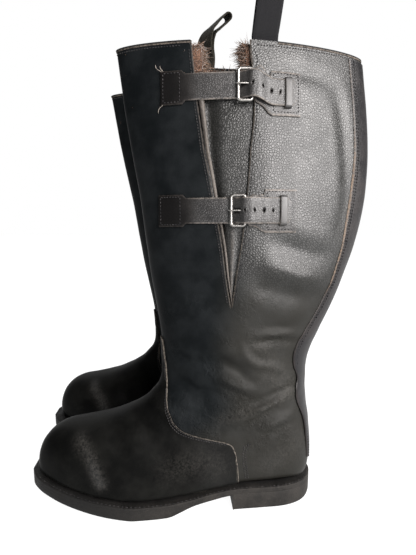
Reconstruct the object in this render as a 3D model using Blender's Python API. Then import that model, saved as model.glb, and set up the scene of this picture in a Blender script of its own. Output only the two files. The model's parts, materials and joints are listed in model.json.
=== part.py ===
"""A pair of tall pull-on leather boots with a fleece lining, modelled in millimetres and built in metres.

Each boot is drawn once, as the left one: +X is its outer side, +Y its heel, +Z up, and the floor
is z = 0. place() then stands it, or its mirror image, in the world.
"""

from math import copysign, cos, hypot, pi, radians, sin

import bmesh
import bpy
from mathutils import Vector

MM = 0.001
SIDES = {"left": 1, "right": -1}

# How the pair stands.
CENTRE_TO_CENTRE = 150.0
RIGHT_BOOT_AHEAD = 13.0
RIGHT_SHAFT_LEAN = 13.0
LEAN_START = 150.0
LEAN_END = 460.0
ORIGIN_Y = -9.55

# Slices through the outside of the boot, from the toe, over the ankle, to the top edge. Each holds
# (front y, front z), (back y, back z), half width outward, half width inward, where along the slice
# it is widest (-1 front .. 1 back), and how square its front and its back are (2 is an ellipse).
SLICES = [
    ((-181, 44), (-181, 44), 0, 0, 0.30, 2.0, 2.4),
    ((-179, 55), (-179, 36), 9, 15, 0.30, 2.0, 3.0),
    ((-174, 66), (-174, 32), 17, 26, 0.30, 2.0, 4.0),
    ((-164, 76), (-162, 29), 26, 36, 0.36, 2.2, 5.0),
    ((-150, 82), (-146, 26), 35, 44, 0.42, 2.3, 6.0),
    ((-132, 84.5), (-125, 21.2), 42, 49.5, 0.46, 2.3, 6.5),
    ((-113, 88), (-104, 18), 47.5, 52, 0.48, 2.25, 6.5),
    ((-95, 93.5), (-80, 15.5), 50, 50.5, 0.48, 2.15, 6.5),
    ((-79, 101), (-54, 15), 49, 46.5, 0.45, 2.1, 6.5),
    ((-65, 109.5), (-26, 16.4), 45, 41, 0.42, 2.05, 6.5),
    ((-55.5, 117.5), (4, 20.9), 41.5, 38, 0.38, 2.0, 6.5),
    ((-50.5, 125), (34, 23.5), 39.5, 37, 0.32, 2.0, 6.5),
    ((-48.5, 132), (62, 23.5), 38.5, 37.5, 0.28, 2.0, 6.0),
    ((-48, 138), (86, 23.5), 38, 37.5, 0.25, 2.0, 5.0),
    ((-48, 144), (102, 24.5), 38, 38, 0.22, 2.0, 3.8),
    ((-48, 149), (109, 35), 38, 38, 0.20, 2.0, 3.0),
    ((-48.5, 154), (110.5, 55), 38.5, 38, 0.17, 2.0, 2.6),
    ((-48.5, 160), (109, 80), 39, 38.5, 0.14, 2.0, 2.3),
    ((-49, 167), (105.5, 106), 40, 39, 0.12, 1.95, 2.1),
    ((-49.5, 175), (104.5, 131), 41, 40, 0.10, 1.9, 2.0),
    ((-50.5, 185), (107, 154), 42, 41, 0.08, 1.9, 1.95),
    ((-52.5, 198), (118, 180), 43.5, 43, 0.06, 1.85, 1.9),
    ((-55.5, 216), (131.5, 208), 45, 45, 0.05, 1.8, 1.85),
    ((-59.5, 240), (142.5, 236), 46.5, 46, 0.05, 1.75, 1.8),
    ((-64, 276), (155.5, 274), 48, 47, 0.05, 1.7, 1.75),
    ((-69, 316), (163.5, 315), 48, 47, 0.04, 1.65, 1.7),
    ((-76, 360), (166, 360), 46, 45, 0.03, 1.6, 1.65),
    ((-83, 405), (163, 404), 43, 42, 0.02, 1.55, 1.6),
    ((-89.5, 459.5), (156, 456.5), 40, 39, 0.0, 1.55, 1.6),
]
TOP = len(SLICES) - 1
SLICE_VALUES = [
    *[[s[end][axis] for s in SLICES] for end in (0, 1) for axis in (0, 1)],
    *[[s[i] for s in SLICES] for i in range(2, 7)],
]

# Slices through the sole, from toe to heel: y, half width outward and inward, underside, top.
SOLE = [
    (-187.5, 2, 18, 19.5, 33.0),
    (-184.0, 11, 27, 18.6, 32.0),
    (-176.0, 20.5, 36, 17.0, 30.3),
    (-165.0, 28.5, 43, 14.8, 28.0),
    (-150.0, 36.5, 49, 11.5, 25.0),
    (-130.0, 44, 54, 7.6, 21.0),
    (-108.0, 49.5, 55.5, 3.8, 17.6),
    (-85.0, 52.5, 53.5, 0.7, 14.9),
    (-72.0, 52.5, 51, 0.0, 14.2),
    (-45.0, 50.5, 45.5, 0.0, 14.2),
    (-33.0, 48.5, 43, 3.0, 14.9),
    (-20.0, 46.5, 41, 7.8, 16.0),
    (-5.0, 44.5, 39.5, 11.0, 18.8),
    (21.5, 42, 39, 15.3, 22.3),
    (50.0, 41, 40, 15.5, 22.5),
    (75.0, 39.5, 39.5, 15.5, 22.5),
    (92.0, 34, 34.5, 15.5, 22.5),
    (103.0, 25, 26, 15.5, 22.5),
    (110.0, 13, 14, 15.5, 22.5),
    (112.5, 4, 5, 15.5, 22.5),
]

WELT_THICKNESS = 3.0
WELT_BAND = 13.0
HEEL_BREAST = 22.0
LIFT_THICKNESS = 5.7
CORK = (0.4, 2.6)
SHANK = (0.9, 2.4)
SHANK_HALF_WIDTH = 9.0

# Leather and lining, as depths below the boot's outside.
LEATHER = 2.0
VAMP_THICKNESS = 1.9
VAMP_LAP_LIFT = 2.8
STIFFENER = (2.8, 4.2)
INSOLE = (2.8, 4.6)
FLEECE = 6.5
FLEECE_UNDER_FOOT = 5.6
FLEECE_UNDER_SHAFT = 4.4
STAY = (-2.4, -0.9)
SEAM_GAP = 0.3

# The back edge of the vamp: angle round the boot, slice.
VAMP_SEAM = [
    (0, 18.3), (14, 18.2), (21, 11.7), (36, 10.8), (52, 10.5), (66, 11.0), (78, 12.1), (86, 13.1),
    (94, 12.1), (110, 11.1), (128, 10.9),
]  # fmt: skip
VAMP_UNDER_FOOT = (142, 160, 180)
VAMP_ROWS = (0, 0.6, 1.3, 2.1, 3, 4, 5, 6.2, 7.5, 9.0)
VAMP_END_UNDER_FOOT = 9.5
LAP_START = 9.85

# The V-shaped opening in the outer side of the shaft: slice, angle of its front and rear edge.
V_TIP = 21.9
V_EDGES = [
    (21.9, 74, 74), (22.6, 71, 74.2), (23.4, 67.5, 74.5), (24.2, 64, 75.5), (25, 61, 77),
    (26, 58.5, 80.5), (27, 58, 86.5), (28, 59.5, 92),
]  # fmt: skip
LEG_ROWS = (10, 11, 12, 13, 14, 15, 16, 17, 18, 19, 20, 21, 21.9, 22.6, 23.4, 24.2, 25, 26, 27, 28)
LEG_ANGLES = (98, 114, 128, 142, 160, 180, 200, 218, 232, 246, 266, 284, 304, 324, 343, 360, 376, 393, 410)
FLEECE_ANGLES = (98, 128, 142, 160, 180, 200, 218, 232, 266, 304, 343, 376, 410)
UNDER_FOOT = (128, 232)
LEG_START_UNDER_FOOT = 10.7
GUSSET_TOP = 27.45
GUSSET_LAP = 5.0
GUSSET_FOLD = 5.0
GUSSET = (3.6, 5.0)

# The two buckled straps on the outer side.
STRAPS = {
    "upper": {"z": 417, "drop": 6, "patch": (-46, -25), "bar": 24, "end": 65, "square": (54, 83)},
    "lower": {"z": 304, "drop": 0, "patch": (-49, -25), "bar": 18, "end": 61, "square": (49, 79)},
}
STRAP_WIDTH = 24.0
STRAP_THICKNESS = 1.8
CHAPE_THICKNESS = 1.4
PATCH_HEIGHT = 31.0
SQUARE_HEIGHT = 38.0
BAR_SPACING = 13.0
BAR_RADIUS = 1.5
FRAME_WIDTH = 31.0
FRAME_CORNER = 2.6
PRONG_RADIUS = 0.8
STRAP_LIFT = 0.6
PATCH_LIFT = 1.0
KEEPER_WIDTH = 7.0
KEEPER_THICKNESS = 1.2
BAR_LIFT = 3.9

# The pull loops of webbing at the top edge: height above the fold, how far the loop slants back for
# each millimetre of height, and how far it droops into the boot, in degrees.
LOOP_WIDTH = 24.0
LOOP_THICKNESS = 1.8
LOOP_TAB = (2.9, 3.6)
LOOP_HALF_GAP = 6.0
LOOP_HINGE_Z = 464.0
LOOP_PLACES = {"outer": (34.0, 50.0, 1), "inner": (-33.5, -2.0, -1)}
LOOP_STANDS = {
    ("left", "outer"): (78.0, 0.13, 0),
    ("left", "inner"): (50.0, 0.55, 0),
    ("right", "outer"): (78.0, 0.13, 80),
    ("right", "inner"): (78.0, 0.13, 72),
}


# --- the boot's outside ---------------------------------------------------------------------


def through(values, b):
    """A smooth curve through the values, read at b."""
    i = min(max(int(b), 0), len(values) - 2)
    t = b - i
    p, q, r, s = (values[min(max(i + k, 0), len(values) - 1)] for k in (-1, 0, 1, 2))
    return q + 0.5 * t * (r - p + t * (2 * p - 5 * q + 4 * r - s + t * (3 * (q - r) + s - p)))


def between(pairs, x):
    """Straight lines between the pairs (x, y, ...), read at x: a list of the values after x."""
    last = pairs[-1]
    if x <= pairs[0][0]:
        return list(pairs[0][1:])
    for low, high in zip(pairs, pairs[1:]):
        if x <= high[0]:
            t = (x - low[0]) / (high[0] - low[0])
            return [p + (q - p) * t for p, q in zip(low[1:], high[1:])]
    return list(last[1:])


def skin(b, degrees, inset=0.0):
    """A point on the outside of the boot, moved inward by inset within its own slice.

    The angle is 0 at the front, 90 at the widest point of the outer side and 180 at the back.
    """
    a = radians((degrees + 180) % 360 - 180)
    fy, fz, by, bz, outward, inward, widest, front_power, back_power = (
        through(values, b) for values in SLICE_VALUES
    )
    reach = hypot(by - fy, bz - fz)
    pull = min(inset, 0.45 * reach) / reach if reach > 0.01 else 0
    turn = abs(a)
    if turn <= pi / 2:
        across = sin(turn) ** (2 / front_power)
        along = widest - (widest + 1) * max(cos(turn), 0) ** (2 / front_power)
    else:
        across = max(sin(turn), 0) ** (2 / back_power)
        along = widest + (1 - widest) * abs(cos(turn)) ** (2 / back_power)
    half = outward if a >= 0 else inward
    share = (along * (1 - 2 * pull) + 1) / 2
    x = copysign(max(half - inset, 0.3 * half) * across, a)
    return Vector((x, fy + (by - fy) * share, fz + (bz - fz) * share))


def side_x(y, z):
    """How far out the outer side of the shaft lies at this y and z."""
    low, high = 15.0, float(TOP) + 0.4
    for _ in range(40):
        b = (low + high) / 2
        fy, fz, by, bz = (through(values, b) for values in SLICE_VALUES[:4])
        share = min(max((y - fy) / (by - fy), 0), 1)
        if fz + (bz - fz) * share < z:
            low = b
        else:
            high = b
    outward, widest, front_power, back_power = (through(SLICE_VALUES[i], b) for i in (4, 6, 7, 8))
    along = 2 * share - 1
    if along < widest:
        t, power = (widest - along) / (widest + 1), front_power
    else:
        t, power = (along - widest) / (1 - widest), back_power
    return outward * max(1 - t**power, 0) ** (1 / power)


def on_side(y, z, lift):
    """A point above the outer side of the shaft, lift millimetres off it."""
    step = 3.0
    slope_y = (side_x(y + step, z) - side_x(y - step, z)) / (2 * step)
    slope_z = (side_x(y, z + step) - side_x(y, z - step)) / (2 * step)
    normal = Vector((1, -slope_y, -slope_z)).normalized()
    return Vector((side_x(y, z), y, z)) + normal * lift


# --- meshes and objects ---------------------------------------------------------------------


def place(point, side):
    """From the boot drawn as a left one to the world, in metres."""
    x, y, z = point
    y -= ORIGIN_Y
    if side < 0:
        rise = min(max((z - LEAN_START) / (LEAN_END - LEAN_START), 0), 1.2)
        y -= RIGHT_BOOT_AHEAD + RIGHT_SHAFT_LEAN * rise
    return Vector(((x + CENTRE_TO_CENTRE / 2) * side, y + RIGHT_BOOT_AHEAD / 2, z)) * MM


def material(name, colour, roughness, metallic=0.0):
    made = bpy.data.materials.get(name) or bpy.data.materials.new(name)
    made.use_nodes = True
    shader = made.node_tree.nodes["Principled BSDF"]
    shader.inputs["Base Color"].default_value = (*colour, 1)
    shader.inputs["Roughness"].default_value = roughness
    shader.inputs["Metallic"].default_value = metallic
    return made


def closed_object(name, points, faces, look, side, origin=(0, 0, 0)):
    """One closed solid from points of the left boot, with its origin where it turns."""
    bm = bmesh.new()
    centre = place(origin, side) if origin != (0, 0, 0) else Vector((0, 0, 0))
    verts = [bm.verts.new(place(p, side) - centre) for p in points]
    for face in faces:
        corners = []
        for i in face:
            if verts[i] not in corners:
                corners.append(verts[i])
        if len(corners) > 2:
            bm.faces.new(corners)
    bmesh.ops.remove_doubles(bm, verts=bm.verts, dist=1e-7)
    bmesh.ops.triangulate(bm, faces=bm.faces)
    bmesh.ops.recalc_face_normals(bm, faces=bm.faces)
    mesh = bpy.data.meshes.new(name)
    bm.to_mesh(mesh)
    bm.free()
    mesh.shade_smooth()
    mesh.set_sharp_from_angle(angle=radians(35))
    made = bpy.data.objects.new(name, mesh)
    made.location = centre
    made.data.materials.append(look)
    bpy.context.scene.collection.objects.link(made)
    return made


def sheet(outer, inner, ring_rows=()):
    """Points and faces of a thick sheet from two grids of points.

    The rows in ring_rows run all the way round, so their last column is their first. Where a row
    that does not run round follows one that does, the sheet has a slit that starts at that ring.
    """
    rows, columns = len(outer), len(outer[0])
    points = []
    index = {}
    for layer, grid in enumerate((outer, inner)):
        for r in range(rows):
            for c in range(columns):
                if c == columns - 1 and r in ring_rows:
                    index[layer, r, c] = index[layer, r, 0]
                    continue
                index[layer, r, c] = len(points)
                points.append(grid[r][c])
    faces = []
    for r in range(rows - 1):
        for c in range(columns - 1):
            corners = [(r, c), (r, c + 1), (r + 1, c + 1), (r + 1, c)]
            faces.append([index[0, *k] for k in corners])
            faces.append([index[1, *k] for k in reversed(corners)])
        if not (r in ring_rows and r + 1 in ring_rows):
            for c in (0, columns - 1):
                faces.append([index[0, r, c], index[0, r + 1, c], index[1, r + 1, c], index[1, r, c]])
    for r in (0, rows - 1):
        for c in range(columns - 1):
            faces.append([index[0, r, c], index[0, r, c + 1], index[1, r, c + 1], index[1, r, c]])
    return points, faces


def pole_sheet(outer, inner):
    """As sheet, all rings, with the first row of each grid drawn together into one point."""
    points, faces = sheet(outer, inner, range(len(outer)))
    columns = len(outer[0]) - 1
    layer = columns * len(outer)
    pole = {}
    for start in (0, layer):
        for c in range(columns):
            pole[start + c] = start
    kept = []
    for face in faces:
        mapped = [pole.get(i, i) for i in face]
        if len(set(mapped)) > 2:
            kept.append(mapped)
    return points, [f for f in kept if not {0, layer} <= set(f)]


def sweep(sections, loop=False):
    """Points and faces of a solid whose cross sections, all with the same corners, are given."""
    corners = len(sections[0])
    points = [p for section in sections for p in section]
    count = len(sections)
    faces = []
    for s in range(count if loop else count - 1):
        here, there = s * corners, (s + 1) % count * corners
        for c in range(corners):
            d = (c + 1) % corners
            faces.append([here + c, here + d, there + d, there + c])
    if not loop:
        faces.append(list(range(corners))[::-1])
        faces.append(list(range((count - 1) * corners, count * corners)))
    return points, faces


def tube(path, radius, sides=8, loop=False):
    """A round bar along the path, with its cross sections turned across it."""
    count = len(path)
    sections = []
    for i, point in enumerate(path):
        after = path[(i + 1) % count] if loop or i < count - 1 else point
        before = path[i - 1] if loop or i > 0 else point
        ahead = (after - before).normalized()
        across = ahead.cross(Vector((1, 0.13, 0.07))).normalized()
        up = ahead.cross(across)
        turns = [2 * pi * k / sides for k in range(sides)]
        sections.append([point + (across * cos(t) + up * sin(t)) * radius for t in turns])
    return sweep(sections, loop)


# --- materials ------------------------------------------------------------------------------


def black_leather():
    return material("black_leather", (0.018, 0.018, 0.020), 0.45)


def worn_leather():
    return material("worn_leather", (0.060, 0.052, 0.048), 0.55)


def fleece():
    return material("fleece", (0.12, 0.06, 0.035), 0.95)


def rubber():
    return material("rubber", (0.030, 0.028, 0.026), 0.70)


def board():
    return material("board", (0.30, 0.21, 0.13), 0.80)


def steel():
    return material("steel", (0.55, 0.54, 0.52), 0.28, 1.0)


def webbing():
    return material("webbing", (0.025, 0.025, 0.028), 0.85)


# --- the upper ------------------------------------------------------------------------------


def vamp(side, prefix):
    """The front of the foot, with a back edge that laps over the shaft and a short end under the foot."""
    seam = VAMP_SEAM + [(angle, LAP_START) for angle in VAMP_UNDER_FOOT]
    edge = seam + [(360 - angle, b) for angle, b in reversed(seam[1:-1])] + [(360, seam[0][1])]
    last = VAMP_ROWS[-1]
    outer = [[skin(b, angle) for angle, _ in edge] for b in VAMP_ROWS]
    # The inside starts a little further back, so that the toe is as thick as the rest.
    inside_rows = [b + 0.35 * (1 - b / last) for b in VAMP_ROWS]
    inner = [[skin(b, angle, VAMP_THICKNESS) for angle, _ in edge] for b in inside_rows]
    for share in (0.0, 0.5, 1.0):
        rows = [[], []]
        for angle, end in edge:
            under = min(angle, 360 - angle) >= VAMP_UNDER_FOOT[0]
            start = last + 0.12 if under else LAP_START
            b = start + ((VAMP_END_UNDER_FOOT if under else end) - start) * share
            lift = 0 if under else VAMP_LAP_LIFT
            for row, depth in zip(rows, (0, VAMP_THICKNESS)):
                row.append(skin(b, angle, depth - lift))
        outer.append(rows[0])
        inner.append(rows[1])
    closed_object(prefix + "vamp", *pole_sheet(outer, inner), black_leather(), side)


def v_edges(b, spread=0.0):
    """The angles of the V's front and rear edge at this slice, moved apart by spread."""
    front, rear = between(V_EDGES, b)
    return front - spread, rear + spread


def around_v(b, spread, depth, angles):
    """The points of a row that starts at the V's rear edge and ends at its front edge."""
    front, rear = v_edges(b, spread)
    return [skin(b, angle, depth) for angle in (rear, *angles, front + 360)]


def leg(side, prefix):
    grids = [[around_v(b, 0, depth, LEG_ANGLES) for b in LEG_ROWS] for depth in (0, LEATHER)]
    for grid, depth in zip(grids, (0, LEATHER)):
        for column, angle in enumerate(LEG_ANGLES, 1):
            if UNDER_FOOT[0] <= angle <= UNDER_FOOT[1]:
                grid[0][column] = skin(LEG_START_UNDER_FOOT, angle, depth)
    rings = [r for r, b in enumerate(LEG_ROWS) if b <= V_TIP]
    closed_object(prefix + "shaft", *sheet(*grids, rings), black_leather(), side)


def fleece_depth(b):
    return between([(0, FLEECE_UNDER_FOOT), (17.2, FLEECE_UNDER_FOOT), (20, FLEECE_UNDER_SHAFT)], b)[0]


def fleece_lining(side, prefix):
    tip, notch = 20.5, 21.1
    rows = [4, 5, 6, 7, 8, 9, *[b for b in LEG_ROWS if b <= 20], tip, notch]
    rows += [b for b in LEG_ROWS if b > V_TIP][:-1] + [27.92]
    grids = [[], []]
    for b in rows:
        spread = 11.0 if b > tip else 0.0
        depth = fleece_depth(b)
        grids[0].append(around_v(b, spread, depth, FLEECE_ANGLES))
        inner_b = b + 0.45 * max(0, 1 - (b - rows[0]) / 3)
        grids[1].append(around_v(inner_b, spread, depth + FLEECE, FLEECE_ANGLES))
    rings = [r for r, b in enumerate(rows) if b <= tip]
    points, faces = sheet(*grids, rings)
    # The toe end is closed by two caps, one on each layer, in place of the faces between them.
    columns = len(FLEECE_ANGLES) + 1
    inner = len(rings) * columns + (len(rows) - len(rings)) * (columns + 1)
    outer_cap = set(range(columns))
    inner_cap = set(range(inner, inner + columns))
    kept = [face for face in faces if not (outer_cap & set(face) and inner_cap & set(face))]
    kept += [sorted(outer_cap), sorted(inner_cap, reverse=True)]
    closed_object(prefix + "fleece_lining", points, kept, fleece(), side)


def gusset(side, prefix):
    rows = [21.3, 21.9, 22.6, 23.4, 24.2, 25, 26, GUSSET_TOP]
    steps = 6
    grids = [[], []]
    for b in rows:
        front, rear = v_edges(b, GUSSET_LAP)
        fold = GUSSET_FOLD * min(1, max(0, (b - V_TIP) / 3))
        for layer in (0, 1):
            row = []
            for k in range(steps + 1):
                t = k / steps
                depth = GUSSET[layer] + fold * sin(pi * t) ** 1.5
                row.append(skin(b, front + (rear - front) * t, depth))
            grids[layer].append(row)
    closed_object(prefix + "gusset", *sheet(*grids), black_leather(), side)


def backstay(side, prefix):
    rows = [15.4, 16, 17, 18, 19, 20, 21, 22, 23, 24, 25, 26, 27, 27.9]
    grids = [[[skin(b, a, depth) for a in (160, 170, 180, 190, 200)] for b in rows] for depth in STAY]
    closed_object(prefix + "backstay", *sheet(*grids), black_leather(), side)


def stiffener(side, prefix, name, rows, angles):
    grids = [[[skin(b, a, depth) for a in angles] for b in rows] for depth in STIFFENER]
    closed_object(prefix + name, *sheet(*grids), board(), side)


def insole(side, prefix):
    rows = [3, 4, 5, 6, 7, 8, 9, 10, 11, 12, 13]
    grids = [[[skin(b, a, depth) for a in (146, 156, 180, 204, 214)] for b in rows] for depth in INSOLE]
    closed_object(prefix + "insole", *sheet(*grids), board(), side)


# --- the sole -------------------------------------------------------------------------------


def sole_slices(start, end, inset=0.0):
    """The sole's own slices between two places along it, with one made at each end."""
    places = [start, *[s[0] for s in SOLE if start < s[0] < end], end]
    made = []
    for y in places:
        outward, inward, underside, top = between(SOLE, y)
        made.append((y, max(outward - inset, 1), max(inward - inset, 1), underside, top))
    return made


def plate(side, name, slices, low, high, look):
    """A plate as wide as the slices, between the heights low(slice) and high(slice)."""
    sections = []
    for s in slices:
        y, outward, inward = s[:3]
        corners = ((outward, low), (outward, high), (-inward, high), (-inward, low))
        sections.append([Vector((x, y, height(s))) for x, height in corners])
    closed_object(name, *sweep(sections), look, side)


def welt(side, prefix):
    first, last = SOLE[0][0], SOLE[-1][0]
    outer = sole_slices(first, last)
    ring = []
    for sign, column, slices in ((1, 1, outer), (-1, 2, outer[::-1])):
        for s in slices:
            inner_y = min(max(s[0], first + WELT_BAND), last - WELT_BAND)
            corners = (
                (s[column], s[0], s[4]),
                (max(s[column] - WELT_BAND, 2), inner_y, between(SOLE, inner_y)[3]),
            )
            (out_x, out_y, out_z), (in_x, in_y, in_z) = corners
            ring.append([
                Vector((sign * out_x, out_y, out_z - WELT_THICKNESS)), Vector((sign * out_x, out_y, out_z)),
                Vector((sign * in_x, in_y, in_z)), Vector((sign * in_x, in_y, in_z - WELT_THICKNESS)),
            ])  # fmt: skip
    closed_object(prefix + "welt", *sweep(ring, loop=True), rubber(), side)


def sole_parts(side, prefix):
    first, last = SOLE[0][0], SOLE[-1][0]
    under_welt = WELT_THICKNESS + SEAM_GAP
    plate(
        side, prefix + "outsole", sole_slices(first, last),
        lambda s: s[3], lambda s: s[4] - under_welt, rubber(),
    )  # fmt: skip
    heel = sole_slices(HEEL_BREAST, last, SEAM_GAP)
    plate(
        side, prefix + "heel_block", heel,
        lambda s: LIFT_THICKNESS + SEAM_GAP, lambda s: s[3] - SEAM_GAP, rubber(),
    )  # fmt: skip
    plate(side, prefix + "heel_lift", heel, lambda s: 0.0, lambda s: LIFT_THICKNESS, rubber())
    inside = WELT_BAND + 1.0
    plate(
        side, prefix + "cork_filler", sole_slices(first + inside + 4, -32, inside + 1),
        lambda s: s[4] - CORK[1], lambda s: s[4] - CORK[0], board(),
    )  # fmt: skip
    half = SHANK_HALF_WIDTH
    shank = [(y, half, half, low, top) for y, _, _, low, top in sole_slices(-29, 78)]
    plate(side, prefix + "shank", shank, lambda s: s[4] - SHANK[1], lambda s: s[4] - SHANK[0], steel())


# --- straps and buckles ---------------------------------------------------------------------


def strap_z(strap, y):
    """The height of a strap's middle line, which falls a little behind the buckle."""
    start = strap["bar"] + BAR_SPACING + 2
    fall = min(max((y - start) / (strap["square"][0] - start), 0), 1)
    return strap["z"] - strap["drop"] * fall


def band(strap, stops):
    """A flat band whose stops are (y, half height, lift of its underside, thickness)."""
    sections = []
    for y, half, lift, thickness in stops:
        z = strap_z(strap, y)
        corners = ((-half, 0), (-half, thickness), (half, thickness), (half, 0))
        sections.append([on_side(y, z + dz, lift + up) for dz, up in corners])
    return sweep(sections)


def cut(target, cutter):
    cutter.hide_render = True
    cutter.display_type = "WIRE"
    boolean = target.modifiers.new("cut", "BOOLEAN")
    boolean.operation = "DIFFERENCE"
    boolean.solver = "EXACT"
    boolean.object = cutter


def billet(side, prefix, name, strap):
    """The strap: sewn down in front of the V, under the outer bar, up through the frame and on."""
    start, sewn = strap["patch"]
    bar, half, t = strap["bar"], STRAP_WIDTH / 2, STRAP_THICKNESS
    over = BAR_LIFT + BAR_RADIUS + CHAPE_THICKNESS + 3 * SEAM_GAP
    square = strap["square"][0]
    rest = CHAPE_THICKNESS + 1.2
    stops = [
        (start, PATCH_HEIGHT / 2, PATCH_LIFT, t), (sewn - 2, PATCH_HEIGHT / 2, PATCH_LIFT, t),
        (sewn, half, PATCH_LIFT, t), (sewn + 12, half, STRAP_LIFT, t),
        (bar - 12, half, STRAP_LIFT, t), (bar - 3, half, 0.4, t),
        (bar + 2.2, half, 0.4, t), (bar + 6.5, half, 3.4, t), (bar + BAR_SPACING - 1, half, over, t),
        (bar + BAR_SPACING + 4, half, over, t), (square - 2, half, rest + 1.2, t),
        (square + 5, half, rest, t),
        (strap["end"] + 8, half, rest, t), (strap["end"] + 13, half - 6, rest, t),
    ]  # fmt: skip
    made = closed_object(prefix + name + "_billet", *band(strap, stops), worn_leather(), side)
    hole = [(bar + 3.2, 1.9, -3, 14), (bar + BAR_SPACING - 0.2, 1.9, -3, 14)]
    cutter = closed_object(prefix + name + "_hole", *band(strap, hole), worn_leather(), side)
    cut(made, cutter)


def chape(side, prefix, name, strap):
    """The square patch with its neck, folded round the buckle's back bar and slit for the prong."""
    near, far = strap["square"]
    hinge = strap["bar"] + BAR_SPACING
    t = CHAPE_THICKNESS
    ring = BAR_RADIUS + 0.45
    neck, half_square = STRAP_WIDTH / 2 - 1, SQUARE_HEIGHT / 2
    path = [
        (far, STRAP_LIFT, half_square), ((near + far) / 2, STRAP_LIFT, half_square),
        (near, STRAP_LIFT, half_square), (near - 6, STRAP_LIFT, neck + 2),
        (hinge + 5, STRAP_LIFT, neck), (hinge, BAR_LIFT - ring - t, neck),
    ]  # fmt: skip
    sections = []
    for y, lift, half in path:
        z = strap_z(strap, y)
        corners = ((-half, 0), (-half, t), (half, t), (half, 0))
        sections.append([on_side(y, z + dz, lift + up) for dz, up in corners])
    z = strap_z(strap, hinge)
    for turn in (-60, -30, 0, 30, 60, 90):
        direction = (-cos(radians(turn)), sin(radians(turn)))
        sections.append([
            on_side(hinge + direction[0] * r, z + dz, BAR_LIFT + direction[1] * r)
            for dz, r in ((-neck, ring + t), (-neck, ring), (neck, ring), (neck, ring + t))
        ])  # fmt: skip
    for y, lift in ((hinge + 6, 3.0), (hinge + 10, 2.35)):
        sections.append([
            on_side(y, strap_z(strap, y) + dz, lift + up)
            for dz, up in ((-neck, t), (-neck, 0), (neck, 0), (neck, t))
        ])  # fmt: skip
    made = closed_object(prefix + name + "_chape", *sweep(sections), worn_leather(), side)
    slot = [(hinge - 7, 2.0, -2, 16), (hinge + 4.5, 2.0, -2, 16)]
    cutter = closed_object(prefix + name + "_slot", *band(strap, slot), worn_leather(), side)
    cut(made, cutter)


def hinge_line(strap):
    """The middle of the back bar and its direction."""
    y = strap["bar"] + BAR_SPACING
    z = strap_z(strap, y)
    middle = on_side(y, z, BAR_LIFT)
    low, high = (on_side(y, z + dz, BAR_LIFT) for dz in (-10, 10))
    return middle, (high - low).normalized()


def strap_frame(strap):
    """Middle of the back bar, and the directions along it, towards the outer bar and outward."""
    middle, up = hinge_line(strap)
    outer = on_side(strap["bar"], strap_z(strap, strap["bar"]), BAR_LIFT + 0.25)
    out = up.cross(middle - outer).normalized()
    if out.x < 0:
        out = -out
    ahead = out.cross(up)
    if ahead.dot(outer - middle) < 0:
        ahead = -ahead
    return middle, up, ahead, out


def buckle_frame(side, prefix, name, strap):
    middle, up, ahead, _ = strap_frame(strap)
    corner = FRAME_CORNER
    near, far = corner, BAR_SPACING - corner
    side_line = FRAME_WIDTH / 2 - BAR_RADIUS - corner
    corners = ((180, near, -side_line), (270, far, -side_line), (0, far, side_line), (90, near, side_line))
    path = []
    for start, along, across in corners:
        for turn in (0, 45, 90):
            angle = radians(start + turn)
            path.append(
                middle + ahead * (along + corner * cos(angle)) + up * (across + corner * sin(angle))
            )
    points, faces = tube(path, BAR_RADIUS, 6, loop=True)
    closed_object(prefix + name + "_buckle", points, faces, steel(), side, tuple(middle))


def prong(side, prefix, name, strap):
    middle, up, ahead, out = strap_frame(strap)
    ring = BAR_RADIUS + 0.35 + PRONG_RADIUS
    tip = BAR_SPACING + BAR_RADIUS + 0.4
    height = BAR_RADIUS + PRONG_RADIUS + 0.55
    eye = [radians(t) for t in (-60, -100, -140, 180, 140, 100, 65)]
    path = [middle + (ahead * cos(t) + out * sin(t)) * ring for t in eye]
    for along, above in ((5.2, 2.6), (9, height), (tip, height)):
        path.append(middle + ahead * along + out * above)
    closed_object(prefix + name + "_prong", *tube(path, PRONG_RADIUS, 6), steel(), side, tuple(middle))


def keeper(side, prefix, name, strap):
    near = strap["end"] + 1.5
    bottom = STRAP_LIFT + CHAPE_THICKNESS + 0.35
    top = CHAPE_THICKNESS + 1.2 + STRAP_THICKNESS + 0.4
    half = STRAP_WIDTH / 2 + 0.5
    t = KEEPER_THICKNESS
    sections = []
    for y in (near, near + KEEPER_WIDTH):
        z = strap_z(strap, y)
        outline = (
            (-half - t, bottom), (-half - t, top + t), (half + t, top + t), (half + t, bottom),
            (half, bottom), (half, top), (-half, top), (-half, bottom),
        )  # fmt: skip
        sections.append([on_side(y, z + dz, lift) for dz, lift in outline])
    closed_object(prefix + name + "_keeper", *sweep(sections), worn_leather(), side)


# --- pull loops -----------------------------------------------------------------------------


def loop_tab(side, prefix, name):
    """The sewn end of a pull loop, held between the leather and the fleece."""
    middle = 104 if name == "outer" else -62
    angles = (middle - 8, middle, middle + 8)
    grids = [[[skin(b, a, depth) for a in angles] for b in (27.2, 27.55, 27.9)] for depth in LOOP_TAB]
    closed_object(prefix + name + "_loop_tab", *sheet(*grids), webbing(), side)


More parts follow.
